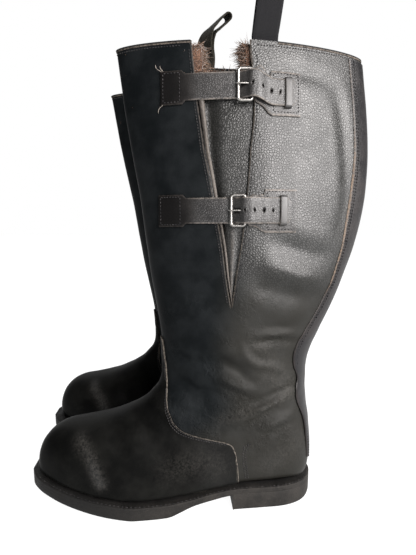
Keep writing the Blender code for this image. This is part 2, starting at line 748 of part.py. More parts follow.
def pull_loop(side_name, name):
    """A standing or drooping loop of webbing, free to fold over the top edge."""
    x, y, outward = LOOP_PLACES[name]
    height, slant, droop = LOOP_STANDS[side_name, name]
    half, gap = LOOP_WIDTH / 2, LOOP_HALF_GAP
    low, high = 0.4 * height, height - gap
    inside = [(-gap / 2, 0), (-gap * 0.9, low), (-gap, high)]
    inside += [(gap * cos(radians(t)), high + gap * sin(radians(t))) for t in (150, 120, 90, 60, 30)]
    inside += [(gap, high), (gap * 0.9, low), (gap / 2, 0)]
    lean = radians(droop) * outward
    sections = []
    for i, (across, up) in enumerate(inside):
        before, after = inside[max(i - 1, 0)], inside[min(i + 1, len(inside) - 1)]
        along = Vector((after[0] - before[0], after[1] - before[1])).normalized()
        outside = (across - along.y * LOOP_THICKNESS, up + along.x * LOOP_THICKNESS)
        corners = [((across, up), -half), ((across, up), half), (outside, half), (outside, -half)]
        sections.append([
            Vector((x + u * cos(lean) - v * sin(lean), y + w + slant * up,
                    LOOP_HINGE_Z + v * cos(lean) + u * sin(lean)))
            for (u, v), w in corners
        ])  # fmt: skip
    hinge = (x, y, LOOP_HINGE_Z)
    closed_object(f"{side_name}_{name}_pull_loop", *sweep(sections), webbing(), SIDES[side_name], hinge)


# --- the pair -------------------------------------------------------------------------------


def boot(side_name):
    side = SIDES[side_name]
    prefix = side_name + "_"
    vamp(side, prefix)
    leg(side, prefix)
    fleece_lining(side, prefix)
    gusset(side, prefix)
    backstay(side, prefix)
    stiffener(side, prefix, "toe_puff", (1.7, 2.3, 2.9, 3.5), (-105, -86, -65, -35, 0, 35, 65, 86, 105))
    stiffener(side, prefix, "heel_counter", (14, 15, 16, 17), LEG_ANGLES[:10])
    insole(side, prefix)
    welt(side, prefix)
    sole_parts(side, prefix)
    for name, strap in STRAPS.items():
        billet(side, prefix, name, strap)
        chape(side, prefix, name, strap)
        buckle_frame(side, prefix, name, strap)
        prong(side, prefix, name, strap)
        keeper(side, prefix, name, strap)
    for name in LOOP_PLACES:
        loop_tab(side, prefix, name)
        pull_loop(side_name, name)


def main():
    for old in list(bpy.data.objects):
        bpy.data.objects.remove(old)
    for side_name in SIDES:
        boot(side_name)


main()
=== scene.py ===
"""The looks of a pair of tall fleece-lined leather boots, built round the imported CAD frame.

Each boot is drawn once, as the left one, in millimetres: +X is its outer side, +Y its heel, +Z up.
place() stands it, or its mirror image, in the frame. A place on the upper is a slice b, from the toe
over the ankle to the top edge, and an angle round it: 0 front, 90 outer side, 180 back.
"""

import json
from functools import lru_cache
from math import cos, pi, radians, sin

import bpy
import numpy as np
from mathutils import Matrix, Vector

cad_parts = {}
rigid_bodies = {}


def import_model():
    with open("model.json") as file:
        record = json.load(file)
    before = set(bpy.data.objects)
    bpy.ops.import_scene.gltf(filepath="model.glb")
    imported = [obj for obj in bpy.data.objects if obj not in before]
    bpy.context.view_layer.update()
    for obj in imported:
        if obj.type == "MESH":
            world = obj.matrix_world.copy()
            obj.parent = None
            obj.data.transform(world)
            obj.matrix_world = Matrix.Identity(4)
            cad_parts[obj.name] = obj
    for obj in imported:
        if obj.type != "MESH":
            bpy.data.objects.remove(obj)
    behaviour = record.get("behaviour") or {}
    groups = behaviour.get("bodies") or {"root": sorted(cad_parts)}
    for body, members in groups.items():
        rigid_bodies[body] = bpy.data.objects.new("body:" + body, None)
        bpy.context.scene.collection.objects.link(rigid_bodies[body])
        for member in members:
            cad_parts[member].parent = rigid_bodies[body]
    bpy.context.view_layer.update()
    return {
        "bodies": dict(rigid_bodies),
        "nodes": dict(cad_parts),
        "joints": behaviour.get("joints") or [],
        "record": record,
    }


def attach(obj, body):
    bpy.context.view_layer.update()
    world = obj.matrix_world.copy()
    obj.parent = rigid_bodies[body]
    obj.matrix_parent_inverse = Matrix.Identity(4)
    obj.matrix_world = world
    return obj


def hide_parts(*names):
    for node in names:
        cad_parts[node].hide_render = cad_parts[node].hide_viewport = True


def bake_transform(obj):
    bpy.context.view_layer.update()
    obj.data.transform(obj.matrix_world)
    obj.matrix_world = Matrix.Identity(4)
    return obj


MM = 0.001
SIDES = {"left": 1, "right": -1}
CENTRE_TO_CENTRE = 150.0
RIGHT_BOOT_AHEAD = 13.0
RIGHT_SHAFT_LEAN = 13.0
LEAN_START = 150.0
LEAN_END = 460.0
ORIGIN_Y = -9.55

# Slices through the outside of the boot, as in the CAD: (front y, front z), (back y, back z), half
# width outward, half width inward, where it is widest (-1 front .. 1 back), front and back power.
SLICES = [
    ((-181, 44), (-181, 44), 0, 0, 0.30, 2.0, 2.4),
    ((-179, 55), (-179, 36), 9, 15, 0.30, 2.0, 3.0),
    ((-174, 66), (-174, 32), 17, 26, 0.30, 2.0, 4.0),
    ((-164, 76), (-162, 29), 26, 36, 0.36, 2.2, 5.0),
    ((-150, 82), (-146, 26), 35, 44, 0.42, 2.3, 6.0),
    ((-132, 84.5), (-125, 21.2), 42, 49.5, 0.46, 2.3, 6.5),
    ((-113, 88), (-104, 18), 47.5, 52, 0.48, 2.25, 6.5),
    ((-95, 93.5), (-80, 15.5), 50, 50.5, 0.48, 2.15, 6.5),
    ((-79, 101), (-54, 15), 49, 46.5, 0.45, 2.1, 6.5),
    ((-65, 109.5), (-26, 16.4), 45, 41, 0.42, 2.05, 6.5),
    ((-55.5, 117.5), (4, 20.9), 41.5, 38, 0.38, 2.0, 6.5),
    ((-50.5, 125), (34, 23.5), 39.5, 37, 0.32, 2.0, 6.5),
    ((-48.5, 132), (62, 23.5), 38.5, 37.5, 0.28, 2.0, 6.0),
    ((-48, 138), (86, 23.5), 38, 37.5, 0.25, 2.0, 5.0),
    ((-48, 144), (102, 24.5), 38, 38, 0.22, 2.0, 3.8),
    ((-48, 149), (109, 35), 38, 38, 0.20, 2.0, 3.0),
    ((-48.5, 154), (110.5, 55), 38.5, 38, 0.17, 2.0, 2.6),
    ((-48.5, 160), (109, 80), 39, 38.5, 0.14, 2.0, 2.3),
    ((-49, 167), (105.5, 106), 40, 39, 0.12, 1.95, 2.1),
    ((-49.5, 175), (104.5, 131), 41, 40, 0.10, 1.9, 2.0),
    ((-50.5, 185), (107, 154), 42, 41, 0.08, 1.9, 1.95),
    ((-52.5, 198), (118, 180), 43.5, 43, 0.06, 1.85, 1.9),
    ((-55.5, 216), (131.5, 208), 45, 45, 0.05, 1.8, 1.85),
    ((-59.5, 240), (142.5, 236), 46.5, 46, 0.05, 1.75, 1.8),
    ((-64, 276), (155.5, 274), 48, 47, 0.05, 1.7, 1.75),
    ((-69, 316), (163.5, 315), 48, 47, 0.04, 1.65, 1.7),
    ((-76, 360), (166, 360), 46, 45, 0.03, 1.6, 1.65),
    ((-83, 405), (163, 404), 43, 42, 0.02, 1.55, 1.6),
    ((-89.5, 459.5), (156, 456.5), 40, 39, 0.0, 1.55, 1.6),
]
TOP = len(SLICES) - 1
SLICE_TABLE = np.array([[*front, *back, *rest] for front, back, *rest in SLICES], float)
LOOKS = {}

# Slices through the sole, from toe to heel: y, half width outward and inward, underside, top.
SOLE = np.array([
    (-187.5, 2, 18, 19.5, 33.0), (-184.0, 11, 27, 18.6, 32.0), (-176.0, 20.5, 36, 17.0, 30.3),
    (-165.0, 28.5, 43, 14.8, 28.0), (-150.0, 36.5, 49, 11.5, 25.0), (-130.0, 44, 54, 7.6, 21.0),
    (-108.0, 49.5, 55.5, 3.8, 17.6), (-85.0, 52.5, 53.5, 0.7, 14.9), (-72.0, 52.5, 51, 0.0, 14.2),
    (-45.0, 50.5, 45.5, 0.0, 14.2), (-33.0, 48.5, 43, 3.0, 14.9), (-20.0, 46.5, 41, 7.8, 16.0),
    (-5.0, 44.5, 39.5, 11.0, 18.8), (21.5, 42, 39, 15.3, 22.3), (50.0, 41, 40, 15.5, 22.5),
    (75.0, 39.5, 39.5, 15.5, 22.5), (92.0, 34, 34.5, 15.5, 22.5), (103.0, 25, 26, 15.5, 22.5),
    (110.0, 13, 14, 15.5, 22.5), (112.5, 4, 5, 15.5, 22.5),
])  # fmt: skip
WELT_THICKNESS = 3.0
WELT_BAND = 13.0
HEEL_BREAST = 22.0
LIFT_THICKNESS = 5.7

LEATHER = 2.0
VAMP_LAP = 2.0
FLEECE = 6.5
VAMP_SEAM = [
    (0, 18.9), (8, 18.85), (12, 18.5), (14, 17.2), (15.5, 15.2), (17.5, 13.6), (21, 12.2), (26.5, 11.2),
    (33, 10.6), (41, 10.25), (53, 10.1), (63, 10.38), (75.3, 11.2), (120.5, 11.0), (128, 10.95),
]  # fmt: skip
SIDE_SEAM = [
    (-43, 96), (-38, 91.7), (-29, 84.4), (-18.9, 80.4), (-6, 76.6), (6.6, 73.6), (15, 71.6), (20.5, 69),
    (23.6, 64.5), (25.3, 58), (27.2, 47), (28.2, 36), (28.7, 28), (28.8, 20),
]  # fmt: skip
VAMP_END_UNDER_FOOT = 9.5
V_TIP = 21.9
V_EDGES = np.array([
    (21.9, 74, 74), (22.6, 71, 74.2), (23.4, 67.5, 74.5), (24.2, 64, 75.5), (25, 61, 77),
    (26, 58.5, 80.5), (27, 58, 86.5), (28, 59.5, 92),
])  # fmt: skip
GUSSET_TOP = 27.45
STAY_EDGE = np.array([
    (15.3, 150), (16.4, 147), (17.2, 144.7), (17.6, 140.4), (18.3, 137.9), (18.9, 142.2), (19.5, 136.7),
    (20.2, 133.9), (21, 136.2), (22.2, 142.5), (23.4, 145.4), (24.2, 144.2), (25, 144.8), (26, 147.2),
    (28, 150.2),
])  # fmt: skip

# Shares across the width of a strap, and how thick its rounded edges are there.
ACROSS = np.array([-1, -0.965, -0.88, -0.6, -0.3, 0, 0.3, 0.6, 0.88, 0.965, 1])
EDGE_ROUNDING = np.array([0.3, 0.75, 1, 1, 1, 1, 1, 1, 1, 0.75, 0.3])
EDGE_DROP = np.array([0.55, 0.15, 0, 0, 0, 0, 0, 0, 0, 0.15, 0.55])

# Straps and buckles, as in the CAD.
STRAPS = {
    "upper": {"z": 417, "drop": 6, "patch": (-46, -25), "bar": 24, "end": 65, "square": (54, 83)},
    "lower": {"z": 304, "drop": 0, "patch": (-49, -25), "bar": 18, "end": 61, "square": (49, 79)},
}
STRAP_WIDTH = 24.0
STRAP_THICKNESS = 1.8
CHAPE_THICKNESS = 1.4
BAR_SPACING = 13.0
BAR_RADIUS = 1.5
FRAME_WIDTH = 31.0
FRAME_CORNER = 2.6
BAR_LIFT = 3.9
KEEPER_WIDTH = 7.0
HOLE_PITCH = 8.6

# Pull loops: x, y and side of the hinge; then height, slant back and droop into the boot.
LOOP_WIDTH = 24.0
LOOP_THICKNESS = 1.8
LOOP_HALF_GAP = 6.0
LOOP_HINGE_Z = 464.0
LOOP_PLACES = {"outer": (34.0, 50.0, 1), "inner": (-33.5, -2.0, -1)}
LOOP_STANDS = {
    ("left", "outer"): (78.0, 0.13, 0),
    ("right", "outer"): (78.0, 0.13, 80),
    ("right", "inner"): (78.0, 0.13, 72),
}

# Creases in the upper: points (y, z) on its side, half width, depth of the valley (under 0: a ridge).
# All are deepened alike, and low on the boot none goes so deep that the heel counter shows.
CREASE_STRENGTH = 1.7
FAR_SIDE_STRENGTH = 0.8
LOW_ON_BOOT = 140
DEEPEST_LOW = -1.5
CREASES = [
    ([(86, 126), (73, 123), (62, 119), (46, 112)], 3.2, 1.5),
    ([(88, 121), (70, 115), (51, 107), (34, 98), (14, 90)], 4.5, -2.0),
    ([(70, 108), (52, 99), (36, 91), (22, 82)], 4.0, 1.4),
    ([(91, 99), (75, 94), (57, 87), (40, 79)], 4.0, -1.5),
    ([(80, 88), (62, 81), (46, 74)], 3.5, 1.0),
    ([(40, 183), (63, 184), (92, 181)], 4.0, -1.2),
    ([(40, 176), (63, 177), (88, 174)], 4.0, 1.0),
    ([(29, 174), (35, 162), (45, 153), (59, 150), (76, 145)], 4.0, -1.3),
    ([(-6, 150), (10, 155), (24, 149), (36, 140)], 7.0, 2.4),
    ([(-2, 140), (16, 137), (32, 130), (48, 124)], 5.0, -1.6),
    ([(-30, 128), (-14, 122), (4, 120), (22, 116)], 6.0, 1.6),
    ([(-38, 160), (-22, 156), (-8, 158)], 5.0, 0.9),
    ([(-36, 112), (-20, 108), (-4, 104)], 4.0, -0.8),
    ([(118, 428), (128, 400), (134, 361), (136, 315), (128, 280)], 7.0, 1.0),
    ([(52, 280), (76, 271), (100, 264), (124, 262)], 9.0, 1.3),
    ([(46, 256), (70, 246), (95, 239), (124, 236)], 9.0, -1.7),
    ([(40, 232), (70, 223), (104, 216)], 10.0, 1.4),
    ([(70, 433), (96, 430), (116, 426)], 7.0, 0.7),
    ([(-100, 88), (-92, 76), (-88, 62)], 6.0, 0.8),
    ([(-78, 98), (-66, 88), (-58, 76)], 5.0, 0.9),
    ([(-66, 104), (-52, 96), (-40, 92)], 4.0, 0.9),
]
# Painted highlights on the shaft's sides, along crease ridges and on the heel quarter: a line (y, z), its
# half width, and how strongly it is painted.
PAINTED_HIGHLIGHTS = [
    ([(46, 172), (60, 152), (76, 131)], 15.0, 0.55),
    ([(12, 94), (46, 106), (84, 119)], 7.0, 0.65),
    ([(58, 45), (74, 54), (92, 66)], 14.0, 0.45),
]


# --- the boot's outside ---------------------------------------------------------------------


def through(table, b):
    """A smooth curve through the rows of the table, read at each b."""
    b = np.asarray(b, float)
    i = np.clip(b.astype(int), 0, len(table) - 2)
    t = (b - i).reshape(b.shape + (1,) * (table.ndim - 1))
    p, q, r, s = (table[np.clip(i + k, 0, len(table) - 1)] for k in (-1, 0, 1, 2))
    return q + 0.5 * t * (r - p + t * (2 * p - 5 * q + 4 * r - s + t * (3 * (q - r) + s - p)))


def curve(points, count):
    """Evenly parted points on a smooth curve through the given ones."""
    return through(np.array(points, float), np.linspace(0, len(points) - 1, count))


def skin(b, degrees):
    """Points on the plain outside of the boot."""
    b, degrees = np.broadcast_arrays(np.asarray(b, float), np.asarray(degrees, float))
    a = np.radians((degrees + 180) % 360 - 180)
    values = through(SLICE_TABLE, b)
    fy, fz, by, bz, outward, inward, widest, front_power, back_power = np.moveaxis(values, -1, 0)
    turn = np.abs(a)
    front = turn <= pi / 2
    power = 2 / np.where(front, front_power, back_power)
    across = np.maximum(np.sin(turn), 0) ** power
    ahead = np.abs(np.cos(turn)) ** power
    along = np.where(front, widest - (widest + 1) * ahead, widest + (1 - widest) * ahead)
    share = (along + 1) / 2
    x = np.copysign(np.where(a >= 0, outward, inward) * across, a)
    return np.stack([x, fy + (by - fy) * share, fz + (bz - fz) * share], -1)


def unit(vectors):
    """The vectors at length 1."""
    return vectors / np.maximum(np.linalg.norm(vectors, axis=-1, keepdims=True), 1e-9)


def facing(b, degrees):
    """Which way the plain outside faces."""
    db, turn = 0.04, 0.8
    b, degrees = np.asarray(b, float), np.asarray(degrees, float)
    round_ = skin(b, degrees + turn) - skin(b, degrees - turn)
    up = skin(b + db, degrees) - skin(np.maximum(b - db, 0), degrees)
    return unit(np.cross(round_, up))


def ease(low, high, x):
    """A soft step from 0 at low to 1 at high."""
    t = np.clip((x - low) / (high - low), 0, 1)
    return t * t * (3 - 2 * t)


def wobble(points, size, seed, octaves=2):
    """Smooth noise about 0, whose bumps are about size across."""
    rng = np.random.default_rng(seed)
    total = np.zeros(points.shape[:-1])
    for octave in range(octaves):
        waves = rng.normal(size=(3, 9)) * 2.2 / size * 2**octave
        total += np.sin(points @ waves + rng.uniform(0, 2 * pi, 9)).sum(-1) / 9 / 1.6**octave
    return total


def line_field(points, y, z):
    """Distance of each (y, z) to the line through the points, and how far along it the nearest is."""
    path = curve(points, 6 * len(points))
    best = np.full(y.shape, 1e9)
    share = np.zeros(y.shape)
    for k, (start, end) in enumerate(zip(path, path[1:])):
        step = end - start
        t = np.clip(((y - start[0]) * step[0] + (z - start[1]) * step[1]) / (step @ step), 0, 1)
        gap = np.hypot(y - start[0] - step[0] * t, z - start[1] - step[1] * t)
        nearer = gap < best
        best = np.where(nearer, gap, best)
        share = np.where(nearer, (k + t) / (len(path) - 1), share)
    return best, share


def near_line(line, width, points):
    """1 on the line (y, z), and less with the distance from it."""
    gap, _ = line_field(line, points[..., 1], points[..., 2])
    return np.exp(-((gap / width) ** 2))


def relief(points):
    """How far the used leather stands off its plain shape: creases on both sides, and soft waves."""
    x, y, z = np.moveaxis(points, -1, 0)
    total = 0.4 * wobble(points, 55, 3) * ease(22, 60, z) * (1 - 0.7 * ease(430, 458, z))
    total += 0.55 * wobble(points, 17, 4) * ease(45, 80, z) * (1 - ease(165, 215, z)) * ease(-60, -35, y)
    for k, (line, width, depth) in enumerate(CREASES):
        for side, shift in ((1, 0.0), (-1, 4.0)):
            gap, share = line_field([(a + shift, b + 1.5 * shift * (k % 3 - 1)) for a, b in line], y, z)
            hollow = np.exp(-((gap / width) ** 2)) - 0.35 * np.exp(-(((gap - 1.9 * width) / width) ** 2))
            taper = np.sin(pi * np.clip(share, 0.02, 0.98)) ** 0.6
            near = ease(4, 14, side * x)
            ragged = 1 + 0.3 * wobble(points, 13, 40 + k, 1)
            strength = CREASE_STRENGTH * (1 if side > 0 else FAR_SIDE_STRENGTH)
            total -= strength * depth * hollow * taper * near * ragged
    return np.where(z < LOW_ON_BOOT, np.maximum(total, DEEPEST_LOW), total)


def surface(b, degrees, lift=0.0):
    """Points on the creased outside of the boot, lift millimetres off it."""
    points = skin(b, degrees)
    lift = np.asarray(lift, float) + relief(points)
    return points + facing(b, degrees) * lift[..., None]


def rows_between(start, end, step):
    """Slices from start to end whose front and back points lie about step apart."""
    fine = np.linspace(start, end, 800)
    values = through(SLICE_TABLE, fine)
    lengths = sum(np.hypot(*np.diff(values[:, k : k + 2], axis=0).T) for k in (0, 2)) / 2
    total = np.concatenate([[0], np.cumsum(lengths)])
    return np.interp(np.linspace(0, total[-1], max(int(total[-1] / step), 3)), total, fine)


def spot(y, z):
    """The slice and angle of places on the outer side of the shaft."""
    y, z = np.broadcast_arrays(np.asarray(y, float), np.asarray(z, float))
    low, high = np.full(y.shape, 14.0), np.full(y.shape, TOP + 0.4)
    for _ in range(40):
        b = (low + high) / 2
        fy, fz, by, bz = np.moveaxis(through(SLICE_TABLE, b)[..., :4], -1, 0)
        share = np.clip((y - fy) / (by - fy), 0.001, 0.999)
        below = fz + (bz - fz) * share < z
        low, high = np.where(below, b, low), np.where(below, high, b)
    widest, front_power, back_power = np.moveaxis(through(SLICE_TABLE, b)[..., 6:], -1, 0)
    along = 2 * share - 1
    ahead = along < widest
    t = np.where(ahead, (widest - along) / (widest + 1), (along - widest) / (1 - widest))
    turn = np.degrees(np.arccos(np.clip(t, 0, 1) ** (np.where(ahead, front_power, back_power) / 2)))
    return b, np.where(ahead, turn, 180 - turn)


def on_side(y, z, lift):
    return surface(*spot(y, z), lift)


def v_edges(b):
    return (np.interp(b, V_EDGES[:, 0], V_EDGES[:, k]) for k in (1, 2))


def from_front(degrees):
    """Angles from the front, on either side."""
    return np.minimum(degrees % 360, 360 - degrees % 360)


def degree_length(b, degrees):
    """Millimetres along the outside for one degree."""
    return np.linalg.norm(skin(b, degrees + 0.5) - skin(b, degrees - 0.5), axis=-1)


# --- meshes ---------------------------------------------------------------------------------


def place(points, side):
    """From the boot drawn as a left one to the frame, in metres."""
    x, y, z = np.moveaxis(np.asarray(points, float), -1, 0)
    y = y - ORIGIN_Y
    if side < 0:
        rise = np.clip((z - LEAN_START) / (LEAN_END - LEAN_START), 0, 1.2)
        y = y - RIGHT_BOOT_AHEAD - RIGHT_SHAFT_LEAN * rise
    return np.stack([(x + CENTRE_TO_CENTRE / 2) * side, y + RIGHT_BOOT_AHEAD / 2, z], -1) * MM


def sheet(outer, inner, rings=None, tags=None):
    """A thick sheet from two grids of points; rows in rings run all the way round. Its tags are values
    that its material reads at each point."""
    rows, columns = outer.shape[:2]
    rings = np.zeros(rows, bool) if rings is None else rings
    index = np.arange(2 * rows * columns).reshape(2, rows, columns)
    index[:, rings, -1] = index[:, rings, 0]
    grid = np.stack([index[:, :-1, :-1], index[:, :-1, 1:], index[:, 1:, 1:], index[:, 1:, :-1]], -1)
    faces = [grid[0].reshape(-1, 4), grid[1][..., ::-1].reshape(-1, 4)]
    open_rows = ~(rings[:-1] & rings[1:])
    for column, order in ((0, 1), (-1, -1)):
        low, high = index[:, :-1, column][:, open_rows], index[:, 1:, column][:, open_rows]
        faces.append(np.stack([low[0], high[0], high[1], low[1]], -1)[:, ::order])
    for row, order in ((0, -1), (-1, 1)):
        near, far = index[:, row, :-1], index[:, row, 1:]
        faces.append(np.stack([near[0], far[0], far[1], near[1]], -1)[:, ::order])
    points = np.concatenate([outer.reshape(-1, 3), inner.reshape(-1, 3)])
    shape = (2, rows, columns)
    tags = {name: np.broadcast_to(v, shape).ravel() for name, v in (tags or {}).items()}
    return points, np.concatenate(faces).tolist(), tags


def walls(count, corners, loop):
    """Faces between count cross sections with the same corners."""
    index = np.arange(count * corners).reshape(count, corners)
    ahead = np.roll(index, -1, 0)
    if not loop:
        index, ahead = index[:-1], ahead[:-1]
    faces = np.stack([index, np.roll(index, -1, 1), np.roll(ahead, -1, 1), ahead], -1)
    return faces.reshape(-1, 4).tolist()


def sweep(sections, loop=False):
    """A solid from cross sections with the same corners."""
    sections = np.asarray(sections, float)
    count, corners = sections.shape[:2]
    faces = walls(count, corners, loop)
    if not loop:
        faces.append(list(range(corners))[::-1])
        faces.append(list(range((count - 1) * corners, count * corners)))
    return sections.reshape(-1, 3), faces, {}


def tube(path, radius, sides, loop=False):
    """A round bar along the path; the radius may change along it."""
    path = np.asarray(path, float)
    if loop:
        ahead = unit(np.roll(path, -1, 0) - np.roll(path, 1, 0))
    else:
        ahead = unit(np.gradient(path, axis=0))
    across = np.cross(ahead[0], (0.13, 0.9, 0.37))
    radius = np.broadcast_to(radius, len(path))
    turns = np.arange(sides) * 2 * pi / sides
    sections = []
    for point, forward, r in zip(path, ahead, radius):
        across = unit(across - forward * (across @ forward))
        up = np.cross(forward, across)
        sections.append(point + r * (np.outer(np.cos(turns), across) + np.outer(np.sin(turns), up)))
    return sweep(sections, loop)


def joined(parts):
    """Several solids as one mesh."""
    points, faces, tags, start = [], [], {}, 0
    for p, f, t in parts:
        points.append(p)
        faces += [[i + start for i in face] for face in f]
        for name, values in t.items():
            tags.setdefault(name, []).append(values)
        start += len(p)
    return np.concatenate(points), faces, {name: np.concatenate(v) for name, v in tags.items()}


def signed_volume(points, faces):
    total = 0.0
    for corners in {len(f) for f in faces}:
        group = points[np.array([f for f in faces if len(f) == corners])]
        for k in range(1, corners - 1):
            total += np.einsum("ij,ij->", group[:, 0], np.cross(group[:, k], group[:, k + 1]))
    return total


def piece(boot, name, solid, look, node=None, body="boot", sharp=40):
    """A piece of one boot from a solid drawn for the left one, in place of its CAD node if it has one."""
    points, faces, tags = solid
    used, packed = np.unique([i for f in faces for i in f], return_inverse=True)
    ends = np.cumsum([len(f) for f in faces])[:-1]
    faces = [f.tolist() for f in np.split(packed, ends)]
    world = place(points[used], SIDES[boot])
    if signed_volume(world - world.mean(0), faces) < 0:
        faces = [f[::-1] for f in faces]
    mesh = bpy.data.meshes.new(name)
    mesh.from_pydata(world.tolist(), [], faces)
    for tag, values in tags.items():
        layer = mesh.attributes.new(tag, "FLOAT", "POINT")
        layer.data.foreach_set("value", np.broadcast_to(np.float32(values), len(points))[used])
    mesh.shade_smooth()
    mesh.set_sharp_from_angle(angle=radians(sharp))
    mesh.materials.append(LOOKS[look])
    made = bpy.data.objects.new(f"{boot}_{name}", mesh)
    bpy.context.scene.collection.objects.link(made)
    if body:
        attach(made, f"{boot}_{body}")
    if node:
        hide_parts(f"{boot}_{node}")
    return made


def cut(target, cutter):
    """Takes the cutter's shape out of the target, and the cutter out of the scene."""
    boolean = target.modifiers.new("cut", "BOOLEAN")
    boolean.operation = "DIFFERENCE"
    boolean.solver = "EXACT"
    boolean.object = cutter
    bpy.context.view_layer.update()
    graph = bpy.context.evaluated_depsgraph_get()
    mesh = bpy.data.meshes.new_from_object(target.evaluated_get(graph))
    target.modifiers.clear()
    target.data = mesh
    bpy.data.objects.remove(cutter)


def line_lengths(line):
    """Length of a line of points up to each of them."""
    return np.concatenate([[0], np.cumsum(np.linalg.norm(np.diff(line, axis=0), axis=1))])


def along_line(line, pitch):
    """Middle points and directions of equal steps of about pitch along a line of points."""
    lengths = line_lengths(line)
    count = max(int(lengths[-1] / pitch), 1)
    at = (np.arange(count) + 0.5) * lengths[-1] / count
    middle, later, earlier = (
        np.stack([np.interp(at + shift, lengths, line[:, k]) for k in range(3)], -1)
        for shift in (0, 0.4, -0.4)
    )
    return middle, unit(later - earlier)


def stitches(line, out, pitch, length=2.3, radius=0.42):
    """A row of short stitches along a line; out is the way the leather faces at each of its points."""
    middle, ahead = along_line(line, pitch)
    nearest = np.argmin(np.linalg.norm(middle[:, None] - line[None], axis=-1), axis=1)
    up = unit(out[nearest] - ahead * np.einsum("ij,ij->i", out[nearest], ahead)[:, None])
    across = np.cross(ahead, up)
    turns = np.arange(6) * pi / 3
    rings = []
    for share, size in ((-1, 0.25), (-0.62, 1.0), (0, 1.15), (0.62, 1.0), (1, 0.25)):
        centre = middle + ahead * (share * length / 2) + up * (radius * (0.45 - 1.2 * share**2))
        spokes = across[:, None] * np.cos(turns)[:, None] + up[:, None] * np.sin(turns)[:, None]
        rings.append(centre[:, None] + spokes * radius * size)
    return joined([sweep(sections) for sections in np.stack(rings, 1)])


def sewn(b, angle, lift, pitch):
    """Stitches in the upper along a line of slices and angles."""
    return stitches(surface(b, angle, lift), facing(b, angle), pitch)


def ribbon(centres, across, up, half, thickness, bow=0.0):
    """A flat band with rounded edges along the centres; its tags hold where a point lies on it."""
    side = across[:, None] * (half * ACROSS)[:, None]
    thick = up[:, None] * (thickness / 2 * EDGE_ROUNDING)[:, None]
    base = centres[:, None] + side + up[:, None] * (bow * (1 - ACROSS**2))[:, None]
    tags = {
        "along": line_lengths(centres)[:, None] * MM,
        "across": half * ACROSS * MM,
        "wear": np.abs(ACROSS) > 0.95,
    }
    return sheet(base + thick, base - thick, tags=tags)


# --- materials ------------------------------------------------------------------------------


class Look:
    """A material being made: a Principled shader with the nodes that feed it."""

    def __init__(self, name, roughness=0.5, metallic=0.0, specular=0.5):
        self.material = bpy.data.materials.new(name)
        self.material.use_nodes = True
        self.tree = self.material.node_tree
        self.shader = self.tree.nodes["Principled BSDF"]
        self.set("Roughness", roughness)
        self.set("Metallic", metallic)
        self.set("Specular IOR Level", specular)
        self.place = self.node("ShaderNodeTexCoord").outputs["Object"]

    def set(self, socket, value):
        self.feed(self.shader.inputs[socket], value)

    def feed(self, socket, value):
        if isinstance(value, bpy.types.NodeSocket):
            self.tree.links.new(value, socket)
        else:
            socket.default_value = (*value, 1) if socket.type == "RGBA" else value

    def node(self, kind, settings=None, **inputs):
        made = self.tree.nodes.new(kind)
        for name, value in (settings or {}).items():
            setattr(made, name, value)
        for name, value in inputs.items():
            self.feed(made.inputs[name.replace("_", " ")], value)
        return made

    def tag(self, name):
        return self.node("ShaderNodeAttribute", {"attribute_name": name}).outputs["Fac"]

    def noise(self, size, detail, roughness=0.55, distortion=0.0):
        made = self.node(
            "ShaderNodeTexNoise", Vector=self.place, Scale=1 / (size * MM), Detail=detail,
            Roughness=roughness, Distortion=distortion,
        )  # fmt: skip
        return made.outputs["Fac"]

    def math(self, operation, first, second, clamp=False):
        made = self.node("ShaderNodeMath", {"operation": operation, "use_clamp": clamp})
        self.feed(made.inputs[0], first)
        self.feed(made.inputs[1], second)
        return made.outputs[0]

    def times(self, first, second, clamp=False):
        return self.math("MULTIPLY", first, second, clamp)

    def plus(self, first, second, clamp=False):
        return self.math("ADD", first, second, clamp)

    def ramp(self, value, low, high, start=0.0, end=1.0):
        made = self.node("ShaderNodeMapRange", {"interpolation_type": "SMOOTHSTEP"}, Value=value)
        for name, number in (("From Min", low), ("From Max", high), ("To Min", start), ("To Max", end)):
            made.inputs[name].default_value = number
        return made.outputs["Result"]

    def mix(self, share, first, second):
        made = self.node("ShaderNodeMix", {"data_type": "RGBA"})
        self.feed(made.inputs["Factor"], share)
        self.feed(made.inputs["A"], first)
        self.feed(made.inputs["B"], second)
        return made.outputs["Result"]

    def bump(self, height, depth, normal=None):
        made = self.node("ShaderNodeBump", Height=height, Distance=depth * MM, Strength=1.0)
        if normal is not None:
            self.feed(made.inputs["Normal"], normal)
        return made.outputs["Normal"]

    def pebbles(self, size):
        """Height of the grain: rounded cells of about this size, a little uneven."""
        coarse = 1 / (2.2 * size * MM)
        shift = self.node("ShaderNodeTexNoise", Vector=self.place, Scale=coarse, Detail=1.0)
        bent = self.node("ShaderNodeVectorMath", {"operation": "MULTIPLY_ADD"})
        self.feed(bent.inputs[0], shift.outputs["Color"])
        bent.inputs[1].default_value = (0.5 * size * MM,) * 3
        self.feed(bent.inputs[2], self.place)
        cells = self.node(
            "ShaderNodeTexVoronoi", {"feature": "DISTANCE_TO_EDGE"}, Vector=bent.outputs[0],
            Scale=1 / (size * MM), Randomness=0.85,
        )  # fmt: skip
        return self.ramp(cells.outputs["Distance"], 0.0, 0.30)


